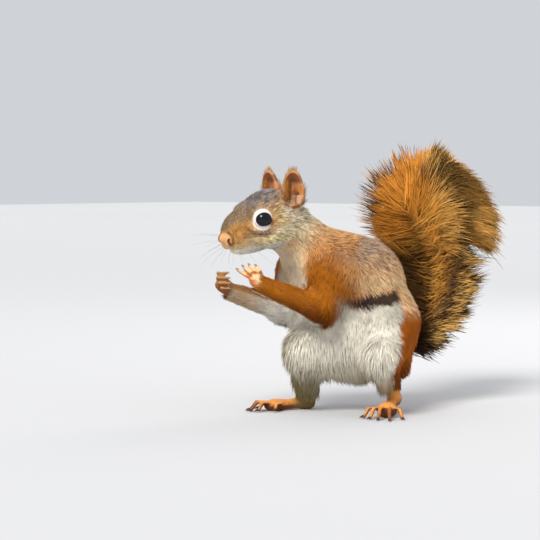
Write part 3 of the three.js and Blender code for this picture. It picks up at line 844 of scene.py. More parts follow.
def face_marks(m):
    """The head, at points of the mirrored head frame: colour, how grizzled, and length of hair."""
    a, b, c = m.T
    crown = ramp(4, 12, c + 0.2 * a + 1.4 * waves(m, 5, 13)) * ramp(-30, -22, a) * ramp(17, 11, a)
    muzzle = ramp(3, 11, a) * ramp(3, -3, c) * ramp(1, 5, b) * (0.85 + 0.25 * waves(m, 4, 12)).clip(0, 1)
    shadow = ramp(-4.6, -6.4, c) * ramp(-10.4, -8, c) * ramp(-6, 0, a) * ramp(11, 6, a)
    streak, _ = nearest_on_path(m * [1, 0, 1], [(9.5, 0, -3.2), (6.0, 0, -7.0), (1.0, 0, -8.8)])
    far, outside, across, bearing = eye_place(m)
    corner = at_bearing(bearing, -32, 0.4)
    ring_width = 1.5 + 0.9 * np.abs(np.sin(bearing)) - 0.4 * ramp(0, 1, np.cos(bearing)) - 1.3 * corner
    ring = ramp(0.45, -0.35, across - ring_width) * (far < 9)
    pad = NOSE_SKIN(m)
    tip = ramp(0.7, -0.7, pad) * ramp(-2.6, -4.4, c)
    wing, nostril, septum = (nearest_on_path(m, line)[0] for line in (WING, NOSTRIL, SEPTUM))
    mouth, along = nearest_on_path(m, MOUTH)
    face = layers(
        np.broadcast_to(OLIVE, m.shape),
        (BUFF, ramp(-7, -18, a) * ramp(8, 2, c)),
        (CROWN * (1.2 - 0.42 * ramp(-12, 2, a))[:, None], crown),
        (BRIDGE, ramp(1, 9, a) * ramp(-2, 2, c) * 0.75),
        (BRIDGE, ramp(7, 13, a) * ramp(-4.5, -1, c) * ramp(7, 3, b)),
        (MUZZLE, muzzle),
        (CHEEK, ramp(-3.5, -7.5, c) * ramp(9, 5, a) * 0.9),
        (linear(98, 68, 28), shadow * 0.85),
        (linear(246, 206, 144), ramp(-8.0, -10.5, c) * ramp(17, 9, a) * ramp(-14, -6, a) * 0.9),
        (PALE, ramp(-10.2, -12.5, c) * ramp(22, 18, a) * 0.8),
        (WHITE, ramp(-13.2, -15, c) * ramp(24, 20, a)),
        (linear(92, 62, 26), bell(streak, 1.1) * 0.75 * (b > 5)),
        (linear(252, 246, 238), ring * (1 - 0.7 * corner)),
        (MUZZLE, bell(across - 1.2, 1.2) * corner * (far < 9) * 0.8),
        (LIDS, ramp(0.35, -0.1, outside) * (far < 8)),
        (NOSE, tip),
        # Painted shade in the crease of the nose's wing.
        (MUZZLE * 0.35, bell(wing, 0.8)),
        (linear(78, 40, 34), ramp(1.3, 0.5, nostril)),
        (linear(52, 34, 38), bell(septum, 0.8)),
        (linear(96, 60, 48), bell(mouth, 0.5) * (1 - ramp(0.85, 1, along)) * 0.85),
    )
    length = 1.3 + 1.9 * ramp(14, -12, a) + 1.2 * ramp(-6, -14, c) * ramp(8, -4, a)
    length = length * ramp(-0.1, 1.0, outside) * (1 - 0.95 * ramp(0.9, -0.2, pad))
    length = np.where(ring > 0.2, np.minimum(length, 1.0 + 0.3 * np.maximum(across, 0)), length)
    return face, (0.75 + 0.25 * ramp(-12, -5, c)) * (1 - ring) * (1 - tip), length


def ear_marks(h):
    """The ears' colour, and how far each point is on the inside of one."""
    depth, e = ear_inside(h)
    height = e[:, 2] / EAR_HEIGHT
    inside = ramp(0.5, 1.1, depth + 1.0 * ramp(0.5, 3.5, e[:, 1]))
    inside = inside * ramp(-2.2, -1.2, e[:, 1] + 2.2 * ramp(0.6, 0.95, height))
    hollow = layers(
        mix(linear(200, 150, 114), linear(196, 124, 62), ramp(0.3, 0.4, height)),
        # Painted highlight: a pale pink band across the hollow.
        (linear(196, 140, 116), bell(height - 0.6, 0.05) * 0.7),
        # Painted shade: a darker brown high in the hollow, under the rim.
        (EAR_HOLLOW_SHADE, ramp(0.6, 0.7, height)),
        # Painted shade deep in the hollow.
        (linear(84, 46, 30), ramp(3.6, 4.8, depth) * 0.5),
        # Painted shade in the slits of the folds.
        (linear(60, 34, 26), bell(nearest_on_path(e * [0, 1, 1], EAR_SLIT)[0], 0.4) * 0.8),
    )
    rim = bell(depth - 0.7, 0.35) * 0.5 * ramp(0.3, 0.5, height)
    return layers(EAR, (hollow, inside), (linear(226, 176, 128), rim)), inside


def markings(p, n):
    """The coat's colour at points of the skin, how grizzled it is, and how long its hair is."""
    q, f, l = mirrored_body(p)
    facing = f / np.sqrt(f * f + l * l + 1)
    body, grizzle, length = trunk_marks(p, n, (q, f, l, facing))

    foot, hand, neck, head = (SHARE[name] for name in ("foot", "hand", "neck", "head"))
    low_leg = ramp(16.6, 14.8, p[:, 2]) * np.clip(SHARE["shank"] + foot, 0, 1) * on_left
    paws = np.clip(hand + np.maximum(foot, low_leg), 0, 1)
    h = to_head(p)
    body = layers(
        body,
        (foot_colour(p, n), np.maximum(ramp(0.25, 0.7, foot), low_leg)),
        (linear(178, 136, 86), SHARE["forearm"] * ~on_left * ramp(-50, -64, p[:, 0]) * 0.75),
        (hand_colour(n), ramp(0.3, 0.75, hand)),
        (linear(150, 84, 32), SHARE["tail"]),
        (neck_colour(p, h, f, facing), neck),
    )
    grizzle = blend(grizzle, 0.12, paws)
    length = blend(blend(length, 1.1, paws), 4.4, neck)

    m = mirrored(h)
    face, face_grizzle, face_length = face_marks(m)
    ear, inside = ear_marks(h)
    body = layers(body, (face, np.clip(head * 1.3, 0, 1)), (ear, ramp(0.25, 0.6, ears)))
    ruff = np.linalg.norm((m - EAR_FOOT - [-7, 0, -3]) * [1, 0.5, 1], axis=1)
    length = blend(length, face_length, head) + 3.6 * bell(ruff, 5) * np.clip(head + neck, 0, 1)
    length = blend(length, 1.9 - 1.3 * inside, ears)
    grizzle = blend(blend(grizzle, face_grizzle, head), 0.3, ears)
    return body, grizzle, np.maximum(length, 0)


colour, grizzle, hair_length = markings(skin.points, normals)

# ---------------- the lie of the coat


def flow_field():
    """The way the hair lies at each point of the skin."""
    p = skin.points
    h = to_head(p)
    flow = np.zeros_like(p)

    def add(name, way):
        nonlocal flow
        flow = flow + SHARE[name][:, None] * unit(np.broadcast_to(way, p.shape))

    from_nose = unit(h - vec(24, 0, -5))
    from_nose[:, 2] -= 0.35 * ramp(-2, -10, h[:, 2]) + 0.1
    from_nose[:, 0] -= 0.2
    add("head", from_nose @ HEAD)
    back = unit(vec(0.75, 0.45, 0))
    add("neck", back * 0.6 + vec(0, 0, -0.9))
    add("chest", back * 0.45 + vec(0, 0, -0.95))
    add("abdomen", back * (0.5 * ramp(66, 80, p[:, 2]) + 0.18)[:, None] + vec(0, 0, -1.0))
    for side, here in (("left", on_left), ("right", ~on_left)):
        shoulder, elbow, wrist = ARM[side]
        _, _, ankle, ball = LEG[side]
        for name, way in (
            ("upper_arm", elbow - shoulder + vec(0, 0, -6)),
            ("forearm", wrist - elbow),
            ("hand", np.array(FINGERS[side][1][2]) - wrist),
            ("thigh", vec(0.14, 0.08, -1.0)),
            ("shank", vec(0.08, 0.1, -1.0)),
            ("foot", ball - ankle + vec(0, 0, 3)),
            ("ear", HEAD[2] - 0.3 * HEAD[0]),
        ):
            flow[here] += SHARE[name][here, None] * unit(way)
    along_tail = KDTree(len(tail_path))
    for i, point in enumerate(tail_path):
        along_tail.insert(point, i)
    along_tail.balance()
    on_tail = np.where(SHARE["tail"] > 0.02)[0]
    tail_way = np.tile([0.0, 0, 1], (len(p), 1))
    tail_way[on_tail] = np.gradient(tail_path, axis=0)[[along_tail.find(p[i])[1] for i in on_tail]]
    add("tail", tail_way)

    far, _, across, _ = eye_place(mirrored(h))
    v = h - np.stack([0 * far, np.sign(h[:, 1]) * EYE_OUT, 0 * far], 1)
    round_eye = ramp(4.5, 1.5, across) * (far < 11) * (SHARE["head"] > 0.5)
    flow = mix(flow, unit(v @ HEAD), round_eye * 0.9)
    for _ in range(5):
        flow -= normals * (flow * normals).sum(1, keepdims=True)
        flow = skin.relax(unit(flow), 5, 0.7)
    flow -= normals * (flow * normals).sum(1, keepdims=True)
    return unit(flow)


flow = flow_field()

# ---------------- materials


def node(tree, kind, **values):
    made = tree.nodes.new("ShaderNode" + kind)
    for key, value in values.items():
        if key in made.inputs:
            made.inputs[key].default_value = value
        else:
            setattr(made, key, value)
    return made


def new_material(name, **inputs):
    """A material, its tree of nodes, and its shader with these inputs."""
    material = bpy.data.materials.new(name)
    material.use_nodes = True
    shader = material.node_tree.nodes["Principled BSDF"]
    for key, value in inputs.items():
        shader.inputs[key.replace("_", " ")].default_value = value
    return material, material.node_tree, shader


def coat_material(name, roughness, hair_scale, bump):
    """Colour from the markings, varied from place to place, with fine streaks of hair as bump."""
    material, tree, shader = new_material(name, Roughness=roughness, Specular_IOR_Level=0.14, Sheen_Roughness=0.5)
    link = tree.links.new
    marking = node(tree, "VertexColor", layer_name="Marking")
    place = node(tree, "TexCoord")
    fine = node(tree, "TexNoise", Scale=hair_scale, Detail=2.0)
    broad = node(tree, "TexNoise", Scale=160.0, Detail=3.0)
    spread = node(tree, "MapRange", **{"From Min": 0.3, "From Max": 0.7, "To Min": 0.86, "To Max": 1.12})
    tone = node(tree, "HueSaturation")
    relief = node(tree, "Bump", Strength=bump, Distance=0.0003)
    for noise in (fine, broad):
        link(place.outputs["Object"], noise.inputs["Vector"])
    link(broad.outputs["Fac"], spread.inputs["Value"])
    link(marking.outputs["Color"], tone.inputs["Color"])
    link(spread.outputs["Result"], tone.inputs["Value"])
    link(tone.outputs["Color"], shader.inputs["Base Color"])
    link(fine.outputs["Fac"], relief.inputs["Height"])
    link(relief.outputs["Normal"], shader.inputs["Normal"])
    return material


def mottled(name, dark, pale, scale, detail=2.0, placed=True, **inputs):
    """A material with a noise between two linear colours. Placed says that the noise stays put on the part."""
    material, tree, shader = new_material(name, **inputs)
    noise = node(tree, "TexNoise", Scale=scale, Detail=detail)
    tones = node(tree, "ValToRGB")
    for element, tint in zip(tones.color_ramp.elements, (dark, pale)):
        element.color = (*tint, 1)
    if placed:
        place = node(tree, "TexCoord")
        tree.links.new(place.outputs["Object"], noise.inputs["Vector"])
    tree.links.new(noise.outputs["Fac"], tones.inputs["Fac"])
    tree.links.new(tones.outputs["Color"], shader.inputs["Base Color"])
    return material


FUR = coat_material("fur", 0.75, 2600.0, 0.25)
SKIN = coat_material("skin", 0.6, 3200.0, 0.6)

# ---------------- the skin's own mesh

SKIN_TRIANGLES = 150000
COARSENESS = 4  # steps between the fine skin of the face and paws and the coarse skin under the coat


def skin_piece():
    mesh = new_mesh("skin", to_row(skin.points), skin.quads)
    add_marking(mesh, colour * np.where(hair_length > 2, 0.8, 1)[:, None])
    rough = put("skin_rough", mesh)
    group = rough.vertex_groups.new(name="coarse")
    coarse = 1 - np.clip(digits + SHARE["head"] + ears, 0, 1)
    for level in range(COARSENESS + 1):
        chosen = np.where((coarse * COARSENESS).round() == level)[0]
        group.add(chosen.tolist(), 0.15 + 0.85 * level / COARSENESS, "REPLACE")
    decimate = rough.modifiers.new("decimate", "DECIMATE")
    decimate.ratio = min(1, SKIN_TRIANGLES / (len(skin.quads) * 2))
    decimate.vertex_group = "coarse"
    mesh = shaped(rough)
    mesh.name = "skin"
    new_piece("skin", mesh, SKIN, FLESH + TAILS)


skin_piece()

# ---------------- tufts of hair


def bake_places(points, normals):
    """Where points go on an unwrap of the skin: six charts, one for each way that the skin can face."""
    axis = np.abs(normals).argmax(1)
    ahead = np.take_along_axis(normals, axis[:, None], 1)[:, 0] > 0
    chart = axis * 2 + ahead
    out = np.zeros((len(points), 2))
    for k in np.unique(chart):
        chosen = chart == k
        flat = np.delete(points[chosen], k // 2, axis=1)
        low, high = flat.min(0), flat.max(0)
        out[chosen] = (flat - low) / np.maximum((high - low).max(), 1e-6) * 0.3 + 0.012
        out[chosen] += np.array([k % 3, k // 3]) * np.array([0.333, 0.5])
    return out


LOWEST = 0.1  # of the hair, above the ground
TUFT_ON_UNWRAP = 0.003


def blades(name, place, side, up, steps):
    """One coat piece of closed, tapering blades. Each has rings of three corners and then a tip: a step is its
    share of the blade's length, and for all the blades the ring's middle, width, height, colour and the way that
    each of its corners faces."""
    n = len(side)
    points, shade, colours, uv = [], [], [], []
    for s, middle, wide, high, tint, facing in steps:
        corners = ((-0.5, 0), (0.5, 0), (0, high)) if wide is not None else ((0, 0),)
        for across, out in corners:
            shift = 0 if wide is None else side * (wide * across) + up * (wide * out)
            points.append(middle + shift)
            shade.append(facing(across, out))
            colours.append(tint)
            uv.append(place + np.array([across, s - 0.5]) * TUFT_ON_UNWRAP)
    per = len(points)
    faces = [(0, 1, 2)]
    for start in range(0, per - 4, 3):
        for i in range(3):
            a, b = start + i, start + (i + 1) % 3
            faces += [(a, a + 3, b + 3), (a, b + 3, b)]
    faces += [(per - 4 + i, per - 1, per - 4 + (i + 1) % 3) for i in range(3)]
    faces = (np.array(faces)[None] + (np.arange(n) * per)[:, None, None]).reshape(-1, 3)
    points, shade, colours, uv = (np.stack(v, 1).reshape(n * per, -1) for v in (points, shade, colours, uv))
    points[:, 2] = np.maximum(points[:, 2], LOWEST)
    mesh = new_mesh(name, to_row(points), faces)
    add_marking(mesh, np.clip(colours, 0.002, 0.95))
    layer = mesh.attributes.new("custom_normal", "FLOAT_VECTOR", "POINT")
    write(layer.data, "vector", unit(shade @ SPIN.T))
    write(mesh.uv_layers.new(name="OFBake").data, "uv", uv[faces.ravel()])
    new_piece(name, mesh, FUR)


corner_points = skin.points[skin.triangles]
triangle_area = np.linalg.norm(
    np.cross(corner_points[:, 1] - corner_points[:, 0], corner_points[:, 2] - corner_points[:, 0]), axis=1
) / 2
first_corner = skin.triangles[:, 0]
strongest = weights.argmax(1)[first_corner]
SLIM, SHORTEST = 0.55, 0.35  # the least share of a tuft's full width, and the least length that grows one


def coat(name, names, per_mm2, width, lift, side=None, most=19500, jitter=0.14, only=True, long=None,
         speckle=0.12, follow=0.8):
    """The tufts of these regions: so many to a square millimetre, at random places on the skin. Lift is the angle
    at which a tuft leaves the skin, and follow is how far its shading is the skin's own."""
    here = np.isin(strongest, [REGIONS.index(region) for region in names])
    here &= (only & (hair_length > SHORTEST))[first_corner]
    if side:
        here &= on_left[first_corner] == (side == "left")
    chosen = np.where(here)[0]
    area = triangle_area[chosen]
    picked = rng.choice(chosen, int(min(most, area.sum() * per_mm2) * DENSITY), p=area / area.sum())
    n = len(picked)
    u, v = rng.random((2, n))
    over = u + v > 1
    u, v = np.where(over, 1 - u, u), np.where(over, 1 - v, v)
    share = np.stack([1 - u - v, u, v], 1)
    corners = skin.triangles[picked]

    def at(values):
        return np.einsum("nc,nc...->n...", share, values[corners])

    root, up, way = at(skin.points), unit(at(normals)), unit(at(flow))
    tint, grey, length = at(colour), at(grizzle), at(hair_length)
    if long:
        length = np.full(n, long)
    sway = waves(root, 9, 21)[:, None] * 0.14 + waves(root, 3, 22)[:, None] * 0.13
    hang = 0.6 * ramp(7.5, 10.5, length)[:, None] * vec(0, 0, -1.0)
    way = unit(way + np.cross(way, up) * (sway + rng.normal(0, jitter, (n, 1))) + hang)
    light = 1 + rng.normal(0, 1, n) * (0.05 + 0.2 * grey) + flecks(root, 1.0, 5) * (0.03 + speckle * grey)
    light = np.maximum(light, 0.3)
    base = tint * (1 - 0.25 * grey - 0.06)[:, None] * light[:, None]
    tip = tint * (1.04 + 0.24 * grey)[:, None] * light[:, None]
    pale = (rng.random(n) < 0.36 * grey * ramp(0.1, 0.3, grey))[:, None]
    tip = np.where(pale, mix(tip, linear(238, 216, 194), 0.5), tip)
    dark = (rng.random(n) < 0.3 * grey)[:, None]
    tip = np.where(dark, tip * 0.38, tip)
    stand = 0.45 * ramp(5.9, 7.5, length) * ramp(98, 106, root[:, 2])  # the ruff behind the ears
    length = length * rng.uniform(0.75, 1.2, n)
    size = width * BROADER * rng.uniform(0.75, 1.25, n) * np.clip(length / 4, SLIM, 1)
    tilt = (lift * rng.uniform(0.6, 1.35, n) + 0.03 + stand)[:, None]

    length, size = length[:, None], size[:, None]
    across_way = unit(np.cross(way, up))

    def facing(across, out):
        return unit(up * follow + (across_way * across * 1.2 + up * (out + 0.2)) * (1 - follow))

    steps = []
    for s, taper in ((0, 0.75), (0.53, 0.65), (1, None)):
        rise = np.sin(tilt) * s - lift * 0.35 * s * s
        middle = root + way * (length * s * np.cos(tilt)) + up * (length * rise - 0.25 * (1 - s))
        if taper:
            steps.append((s, middle, size * taper, 0.4, mix(base, tip, ramp(0, 0.55, np.full(n, s))), facing))
        else:
            steps.append((s, middle, None, 0, tip, lambda across, out: up))
    blades(name, bake_places(root, up), across_way, up, steps)


coat("coat_face", ["head"], 7.0, 0.3, 0.3, speckle=0.95, follow=0.62)
coat("coat_neck", ["neck"], 5.0, 0.36, 0.3, speckle=0.6, follow=0.68)
coat("coat_chest", ["chest"], 3.9, 0.42, 0.32, speckle=0.5, follow=0.72)
coat("coat_belly", ["abdomen", "tail"], 3.3, 0.48, 0.24, speckle=0.5)
ear_edge = ear_inside(to_head(skin.points))[0] < 0.8
for side, _ in SIDES:
    coat(f"coat_arm_{side}", ["upper_arm", "forearm"], 4.4, 0.42, 0.24, side, most=10000)
    coat(f"coat_leg_{side}", ["thigh", "shank"], 3.4, 0.5, 0.27, side, most=14000)
    coat(f"coat_hand_{side}", ["hand"], 7, 0.24, 0.2, side, most=3500)
    coat(f"coat_foot_{side}", ["foot"], 7, 0.26, 0.2, side, most=4500)
    coat(f"coat_ear_{side}", ["ear"], 7, 0.24, 0.4, side, most=4500)
    coat(f"wisps_ear_{side}", ["ear"], 2.4, 0.18, 0.5, side, most=1100, jitter=0.3, only=ear_edge,
         long=3.8)

# ---------------- the tail's hair

RUST, OCHRE, STRAW = linear(208, 134, 48), linear(232, 166, 74), linear(232, 190, 112)
# The second colour is the painted shadow on the tail's hair next to the back.
BLACK, TAIL_SHADOW = linear(52, 42, 40), linear(36, 15, 4)
TAIL_SQUEEZE = 0.38  # the brush is this much thinner from side to side
FAN_CENTRE, CURL_CENTRE, CURL_RADIUS = vec(30, 57, 100), vec(46, 63, 115), 40
LONGEST = 46
TAIL_RINGS = ((0, 0.42), (0.3, 0.5), (0.66, 0.44), (0.86, 0.3), (1.0, None))  # places on a tuft, and widths


def tail_frame(t):
    """The bones' place and directions at parameters from 0 at the root to 1 at the tip."""
    index = t * (len(tail_path) - 1)
    whole = np.arange(len(tail_path))
    place = np.stack([np.interp(index, whole, tail_path[:, k]) for k in range(3)], 1)
    slope = np.gradient(tail_path, axis=0)
    way = unit(np.stack([np.interp(index, whole, slope[:, k]) for k in range(3)], 1))
    across = unit(TAIL_ACROSS - way * (way @ TAIL_ACROSS)[:, None])
    return place, way, across, np.cross(way, across)


def brush(p):
    """The CAD's outline of the tail's hair, as a field of distance in a space squeezed across the tail."""

    def squeeze(v):
        return v - TAIL_SQUEEZE * (v @ TAIL_ACROSS)[..., None] * TAIL_ACROSS

    points = squeeze(smooth_path(TAIL[:, :3], 2))
    radii = np.interp(np.arange(len(points)) / 2, np.arange(len(TAIL)), TAIL[:, 3])
    q = squeeze(p)
    d = np.full(len(p), math.inf)
    for i in range(len(points) - 1):
        d = np.minimum(d, limb(points[i], points[i + 1], radii[i], radii[i + 1])(q))
    return d


def way_out(start, way, furthest):
    """How far it is from each place to the outside of the brush."""
    far = np.full(len(start), 2.0)
    going = np.ones(len(start), bool)
    while going.any():
        going &= (brush(start + way * (far + 1)[:, None]) < 0) & (far < furthest)
        far[going] += 1
    return far


def tail_clumps(low, high, count, r):
    """Clumps of the tail's hair: root, direction, the ways out from the bones, along them and towards the
    clump's face of the tail, length, how far it is a loose wisp, and the way through the tail's thickness."""
    t = r.uniform(low, high, count)
    place, way, across, thin = tail_frame(t)
    angle = r.uniform(0, 2 * math.pi, count)
    angle -= 0.35 * np.sin(2 * angle)  # the hair is parted to both sides of the tail
    aside, deep = np.cos(angle), np.sin(angle)
    out = across * aside[:, None] + thin * deep[:, None]
    spread = unit(across * (np.sign(aside) * np.maximum(np.abs(aside), 0.62))[:, None]
                  + thin * (deep * 0.6)[:, None])
    lean = np.interp(t, [0, 0.1, 0.42, 0.6, 0.8, 0.9, 1], [1.1, 1.4, 1.45, 1.15, 1.1, 0.9, 0.4])
    lean = np.clip(lean + r.normal(0, 0.14, count), 0.2, 1.6)
    ahead = unit(spread * np.sin(lean)[:, None] + way * np.cos(lean)[:, None])
    fanned = unit(place - FAN_CENTRE + out * 5) + thin * (deep * 0.45)[:, None]
    share = ramp(0.42, 0.56, t) * (0.15 + 0.7 * np.maximum(ramp(-0.3, 0.5, aside), ramp(0.7, 0.78, t)))
    ahead = unit(mix(ahead, fanned, share))
    facing = thin * np.where(deep > 0, 1, -1)[:, None]
    wisp = (r.random(count) < 0.35) * ramp(0.5, 0.8, np.abs(aside))
    length = way_out(place, ahead, LONGEST) * (r.uniform(0.86, 1.0, count) + wisp * r.uniform(0.08, 0.2, count))
    return place, ahead, out, way, facing, length + 1.5 * np.abs(aside), wisp, thin


def tail_piece(name, low, high, seed, clumps=900, each=10):
    r = np.random.default_rng(seed)
    clumps = int(clumps * DENSITY)
    groups = tail_clumps(low, high, clumps, r)
    own = np.repeat(np.arange(clumps), each)
    n = len(own)
    place, ahead, out, along, facing, reach, wisp, thin = (values[own] for values in groups)
    root = place + r.normal(0, 1.6, (n, 3)) + out * 1.2 + facing * r.uniform(0, 3, (n, 1))
    loose = (1.2 + 0.045 * reach) * (1 - 0.5 * wisp)
    tip = place + ahead * reach[:, None] + r.normal(0, 1, (n, 3)) * loose[:, None]
    whole = np.linalg.norm(tip - root, axis=1)
    way = unit(tip - root)
    size = whole * np.minimum(r.uniform(0.6, 1.12, n), 1.04)
    bend = unit(along - way * (along * way).sum(1, keepdims=True))
    side = unit(np.cross(way, out))
    sag = size * r.uniform(0.03, 0.12, n)
    curl = side * (size * r.normal(0, 0.06, clumps)[own])[:, None]
    fall = size * 0.36 * ramp(50, 66, tip[:, 0]) * ramp(84, 100, tip[:, 2])
    vary = 1 + r.normal(0, 0.1, n) + r.normal(0, 0.1, clumps)[own]
    fan = ramp(84, 104, tip[:, 2]) * ramp(56, 36, tip[:, 0] + r.normal(0, 4, n))
    main = layers(
        OCHRE,
        (RUST, np.clip(0.22 + fan * 0.85 + r.normal(0, 0.15, n), 0, 1)),
        (OCHRE * 0.7, ramp(106, 86, tip[:, 2]) * 0.9),
        (STRAW, ramp(50, 62, tip[:, 0]) * ramp(92, 108, tip[:, 2]) * 0.4),
    )
    wobble = r.normal(0, 2, n)
    wild = r.normal(0, 0.7, n) + r.normal(0, 1.4, clumps)[own]

    def shade(across, _):
        return unit(facing * 0.9 + out * 0.3 + side * across * 0.4)

    steps = []
    for s, wide in TAIL_RINGS:
        middle = root + way * (size * s)[:, None] + bend * (sag * (s * s * 1.2 - 0.2 * s))[:, None]
        middle = middle + curl * (s * s)
        middle[:, 2] -= fall * s * s
        x, z = middle[:, 0], middle[:, 2]
        at_edge = s * size / np.maximum(whole, 1) + r.normal(0, 0.03, n)
        # Painted shadow: a dark strip where the tail's hair lies next to the back, and a little shade low down.
        strip = np.interp(z, [30, 60, 85], [48, 48.5, 44])
        shadow = ramp(102, 88, z) * ramp(2, -5, x + wobble - strip)
        shadow = np.maximum(shadow, 0.12 * ramp(50, 32, z))
        flat = middle - thin * ((middle - place) * thin).sum(1, keepdims=True)
        rim = np.minimum(brush(flat), np.linalg.norm(flat - CURL_CENTRE, axis=1) - CURL_RADIUS) + wild
        band = ramp(-10, -7.5, rim) * ramp(-2.2, -4.2, rim) * (1 - 0.6 * ramp(58, 78, x))
        band = np.minimum(band + 0.1 * bell(at_edge - 0.78, 0.08), 1)
        # Painted shade: each hair is made half as dark near its root, deep in the brush.
        tint = layers(
            mix(main, main * 0.5, ramp(0.4, 0.0, at_edge)),
            (linear(160, 130, 106), 0.6 * ramp(50, 34, z)),
            (TAIL_SHADOW, shadow * 0.92),
            (BLACK, band * 0.88 * (1 - shadow)),
            (STRAW, ramp(-4, -1.5, rim) * 0.6 * (1 - shadow)),
        )
        steps.append((s, middle, wide and wide * BROADER, 0.5, tint * vary[:, None], shade))
    blades(name, bake_places(root, out), side, np.cross(side, way), steps)


tail_piece("tail_hair_root", 0.03, 0.29, 31)
tail_piece("tail_hair_rise", 0.26, 0.52, 41)
tail_piece("tail_hair_fan", 0.49, 0.77, 51)
tail_piece("tail_hair_end", 0.74, 1.0, 61)

# ---------------- eyes, claws and whiskers

EYE_RINGS, EYE_SIDES, EYE_SPAN = 24, 64, math.radians(100)  # from its axis back
RIM_STEPS, RIM_SIDES, RIM_THICK = 96, 10, 0.34


def bearings(steps):
    return np.linspace(0, 2 * math.pi, steps + 1)[:-1]


def from_eye(off, bearing):
    """Directions at an angle off the eye's axis, at a bearing round it."""
    off, bearing = off[..., None], bearing[..., None]
    around = EYE_FRONT * np.cos(bearing) + EYE_UP * np.sin(bearing)
    return EYE_AXIS * np.cos(off) + around * np.sin(off)


def eye_mesh(name, points, faces, out):
    """A mesh from the left eye's points in the head frame, or from their mirror image for the right eye."""
    faces = faces[:, ::-1] if out > 0 else faces
    return new_mesh(name, to_row(from_head(points.reshape(-1, 3) * vec(1, out, 1))), faces)


def eyes():
    ball = mottled("eye", (0.0015, 0.002, 0.003), (0.006, 0.006, 0.007), 700.0, 4.0, Roughness=0.05, IOR=1.38)
    lid = mottled("eyelid", linear(34, 22, 30), linear(78, 50, 66), 2200.0, placed=False, Roughness=0.42)
    off = np.linspace(0, EYE_SPAN, EYE_RINGS + 1)[1:]
    off, bearing = np.meshgrid(off, bearings(EYE_SIDES), indexing="ij")
    points = (EYE_CENTRE + from_eye(off, bearing) * EYE_RADIUS).reshape(-1, 3)
    ends = EYE_CENTRE + EYE_AXIS * EYE_RADIUS, EYE_CENTRE - EYE_AXIS * EYE_RADIUS * 0.2
    points = np.vstack([points, *ends])

    bearing = bearings(RIM_STEPS)
    direction = from_eye(opening(bearing), bearing)
    path = EYE_CENTRE + direction * (EYE_RADIUS + 0.15)
    slope = unit(np.roll(path, -1, 0) - np.roll(path, 1, 0))
    inwards = unit(np.cross(slope, direction))
    turn = bearings(RIM_SIDES)[:, None]
    rim = path[:, None] + RIM_THICK * (
        inwards[:, None] * (np.cos(turn) * 0.95) + direction[:, None] * (np.sin(turn) * 0.85)
    )
    i, j = np.mgrid[0:RIM_STEPS, 0:RIM_SIDES]
    k, m = (i + 1) % RIM_STEPS * RIM_SIDES, (j + 1) % RIM_SIDES
    rim_faces = np.stack([i * RIM_SIDES + j, i * RIM_SIDES + m, k + m, k + j], -1).reshape(-1, 4)
    for side, out in SIDES:
        mesh = eye_mesh(f"eyeball_{side}", points, closed_rings(EYE_RINGS, EYE_SIDES), out)
        new_piece(f"eyeball_{side}", mesh, ball, [f"eye_{side}"])
        new_piece(f"eyelid_{side}", eye_mesh(f"eyelid_{side}", rim, rim_faces, out), lid)


eyes()


def joined_tubes(name, lines, sides, material):
    """One piece from closed tubes, each a path and its radii."""
    points, faces = zip(*(tube(path, radii, sides) for path, radii in lines))
    starts = np.cumsum([0] + [len(p) for p in points])
    faces = np.vstack([f + start for f, start in zip(faces, starts)])
    new_piece(name, new_mesh(name, to_row(np.vstack(points)), faces), material)


def claw(chain, long):
    """The path and radii of a claw that makes up the last part of a finger or toe."""
    fine = smooth_path(np.array(chain, float), 10)
    gap = np.cumsum(np.linalg.norm(np.diff(fine, axis=0), axis=1)[::-1])[::-1]
    start = fine[np.where(gap > long)[0][-1]]
    tip = fine[-1] + vec(0, 0, -0.15)
    s = np.linspace(0, 1, 8)[:, None]
    path = start + (tip - start) * s + vec(0, 0, 0.55) * np.sin(s * math.pi)
    path[:, 2] = np.maximum(path[:, 2], 0.35)
    return path, np.interp(s[:, 0], [0, 0.2, 0.7, 1], [0.6, 0.72, 0.42, 0.08])


horn = {
    "hand": mottled("claw_hand", linear(120, 80, 60), linear(206, 160, 124), 1500.0, 3.0, Roughness=0.35),
    "foot": mottled("claw_foot", linear(40, 24, 24), linear(104, 72, 60), 1500.0, 3.0, Roughness=0.35),
}
for side, _ in SIDES:
    toes = [toe_path(*ends) for ends in TOES[side]]
    for part, chains, long in (("hand", FINGERS[side], 1.9), ("foot", toes, 3.4)):
        joined_tubes(f"claws_{part}_{side}", [claw(chain, long) for chain in chains], 8, horn[part])


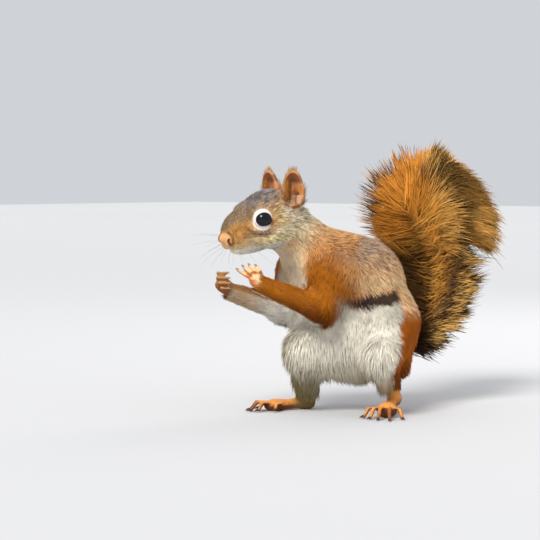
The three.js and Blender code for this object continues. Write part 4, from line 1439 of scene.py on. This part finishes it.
def whiskers():
    material = mottled("whisker", linear(60, 50, 46), linear(210, 200, 190), 300.0, Roughness=0.4)
    r = np.random.default_rng(77)
    low, high = (np.array(corner) for corner in CAD_BOX)
    room = (high - low) * 0.03 + 0.009  # how far a whisker may stand out of the CAD's box
    s = np.linspace(0, 1, 9)[:, None]
    lines = []
    for out, row, k in itertools.product((1, -1), range(4), range(5)):
        start = vec(17.5 - 1.9 * k, (5.4 + 0.75 * k - 0.25 * row) * out, -7.2 - 1.35 * row - 0.15 * k)
        way = unit(vec(0.75 - 0.3 * k, (0.75 + 0.1 * k) * out, 0.28 - 0.24 * row) + r.normal(0, 0.07, 3))
        long = r.uniform(20, 30) * (1 - 0.08 * abs(row - 1))
        droop = vec(-0.1, 0.05 * out, -0.16) * long
        path = from_head(start + way * long * s + droop * s * s)
        row_path = to_row(path)
        inside = ((row_path > low - room) & (row_path < high + room)).all(1)
        if not inside.all():
            path = path[: max(np.where(inside)[0][-1], 3)]
        lines.append((path, np.linspace(0.085, 0.03, len(path))))
    joined_tubes("whiskers", lines, 5, material)


whiskers()

# ---------------- floor, light and camera


def aim(thing, place, target):
    place, target = Vector(to_row(np.array(place, float))), Vector(to_row(np.array(target, float)))
    thing.location = place
    thing.rotation_euler = (target - place).to_track_quat("-Z", "Y").to_euler()


def lamp(name, kind, place, target, power, colour, **settings):
    data = bpy.data.lights.new(name, kind)
    data.energy, data.color = power, colour
    for key, value in settings.items():
        setattr(data, key, value)
    aim(put(name, data), place, target)


FLOOR = 6  # metres from its middle to its sides
floor_mesh = new_mesh("studio_floor", np.array([[-1, -1, 0], [1, -1, 0], [1, 1, 0], [-1, 1, 0]]) * FLOOR,
                      np.array([[0, 1, 2, 3]]))
floor_mesh.materials.append(
    mottled("studio_floor", (0.62, 0.62, 0.63), (0.68, 0.68, 0.69), 6.0, 4.0, placed=False, Roughness=0.85))
put("studio_floor", floor_mesh)
lamp("key", "SUN", (-380, -760, 830), (0, 0, 0), 2.8, (1, 0.98, 0.94), angle=math.radians(24))
lamp("rim", "AREA", (420, 620, 620), (-10, 20, 75), 1.6, (1, 0.97, 0.92), shape="DISK", size=0.5)
world = bpy.data.worlds.new("studio")
bpy.context.scene.world = world
world.use_nodes = True
background = world.node_tree.nodes["Background"].inputs
background["Color"].default_value, background["Strength"].default_value = (0.92, 0.95, 1, 1), 0.68

camera_data = bpy.data.cameras.new("camera")
camera = put("camera", camera_data)
bpy.context.scene.camera = camera
camera_data.lens, camera_data.sensor_width, camera_data.clip_start = 120.69, 36, 0.02
AWAY, DOWN = 1050, math.radians(3)  # how far off the camera stands, and how steeply it looks down
target = vec(-52.2, 0, 84.98)
aim(camera, target - vec(0, math.cos(DOWN), -math.sin(DOWN)) * AWAY, target)
bpy.context.scene.view_settings.view_transform = "Standard"

bpy.context.view_layer.update()
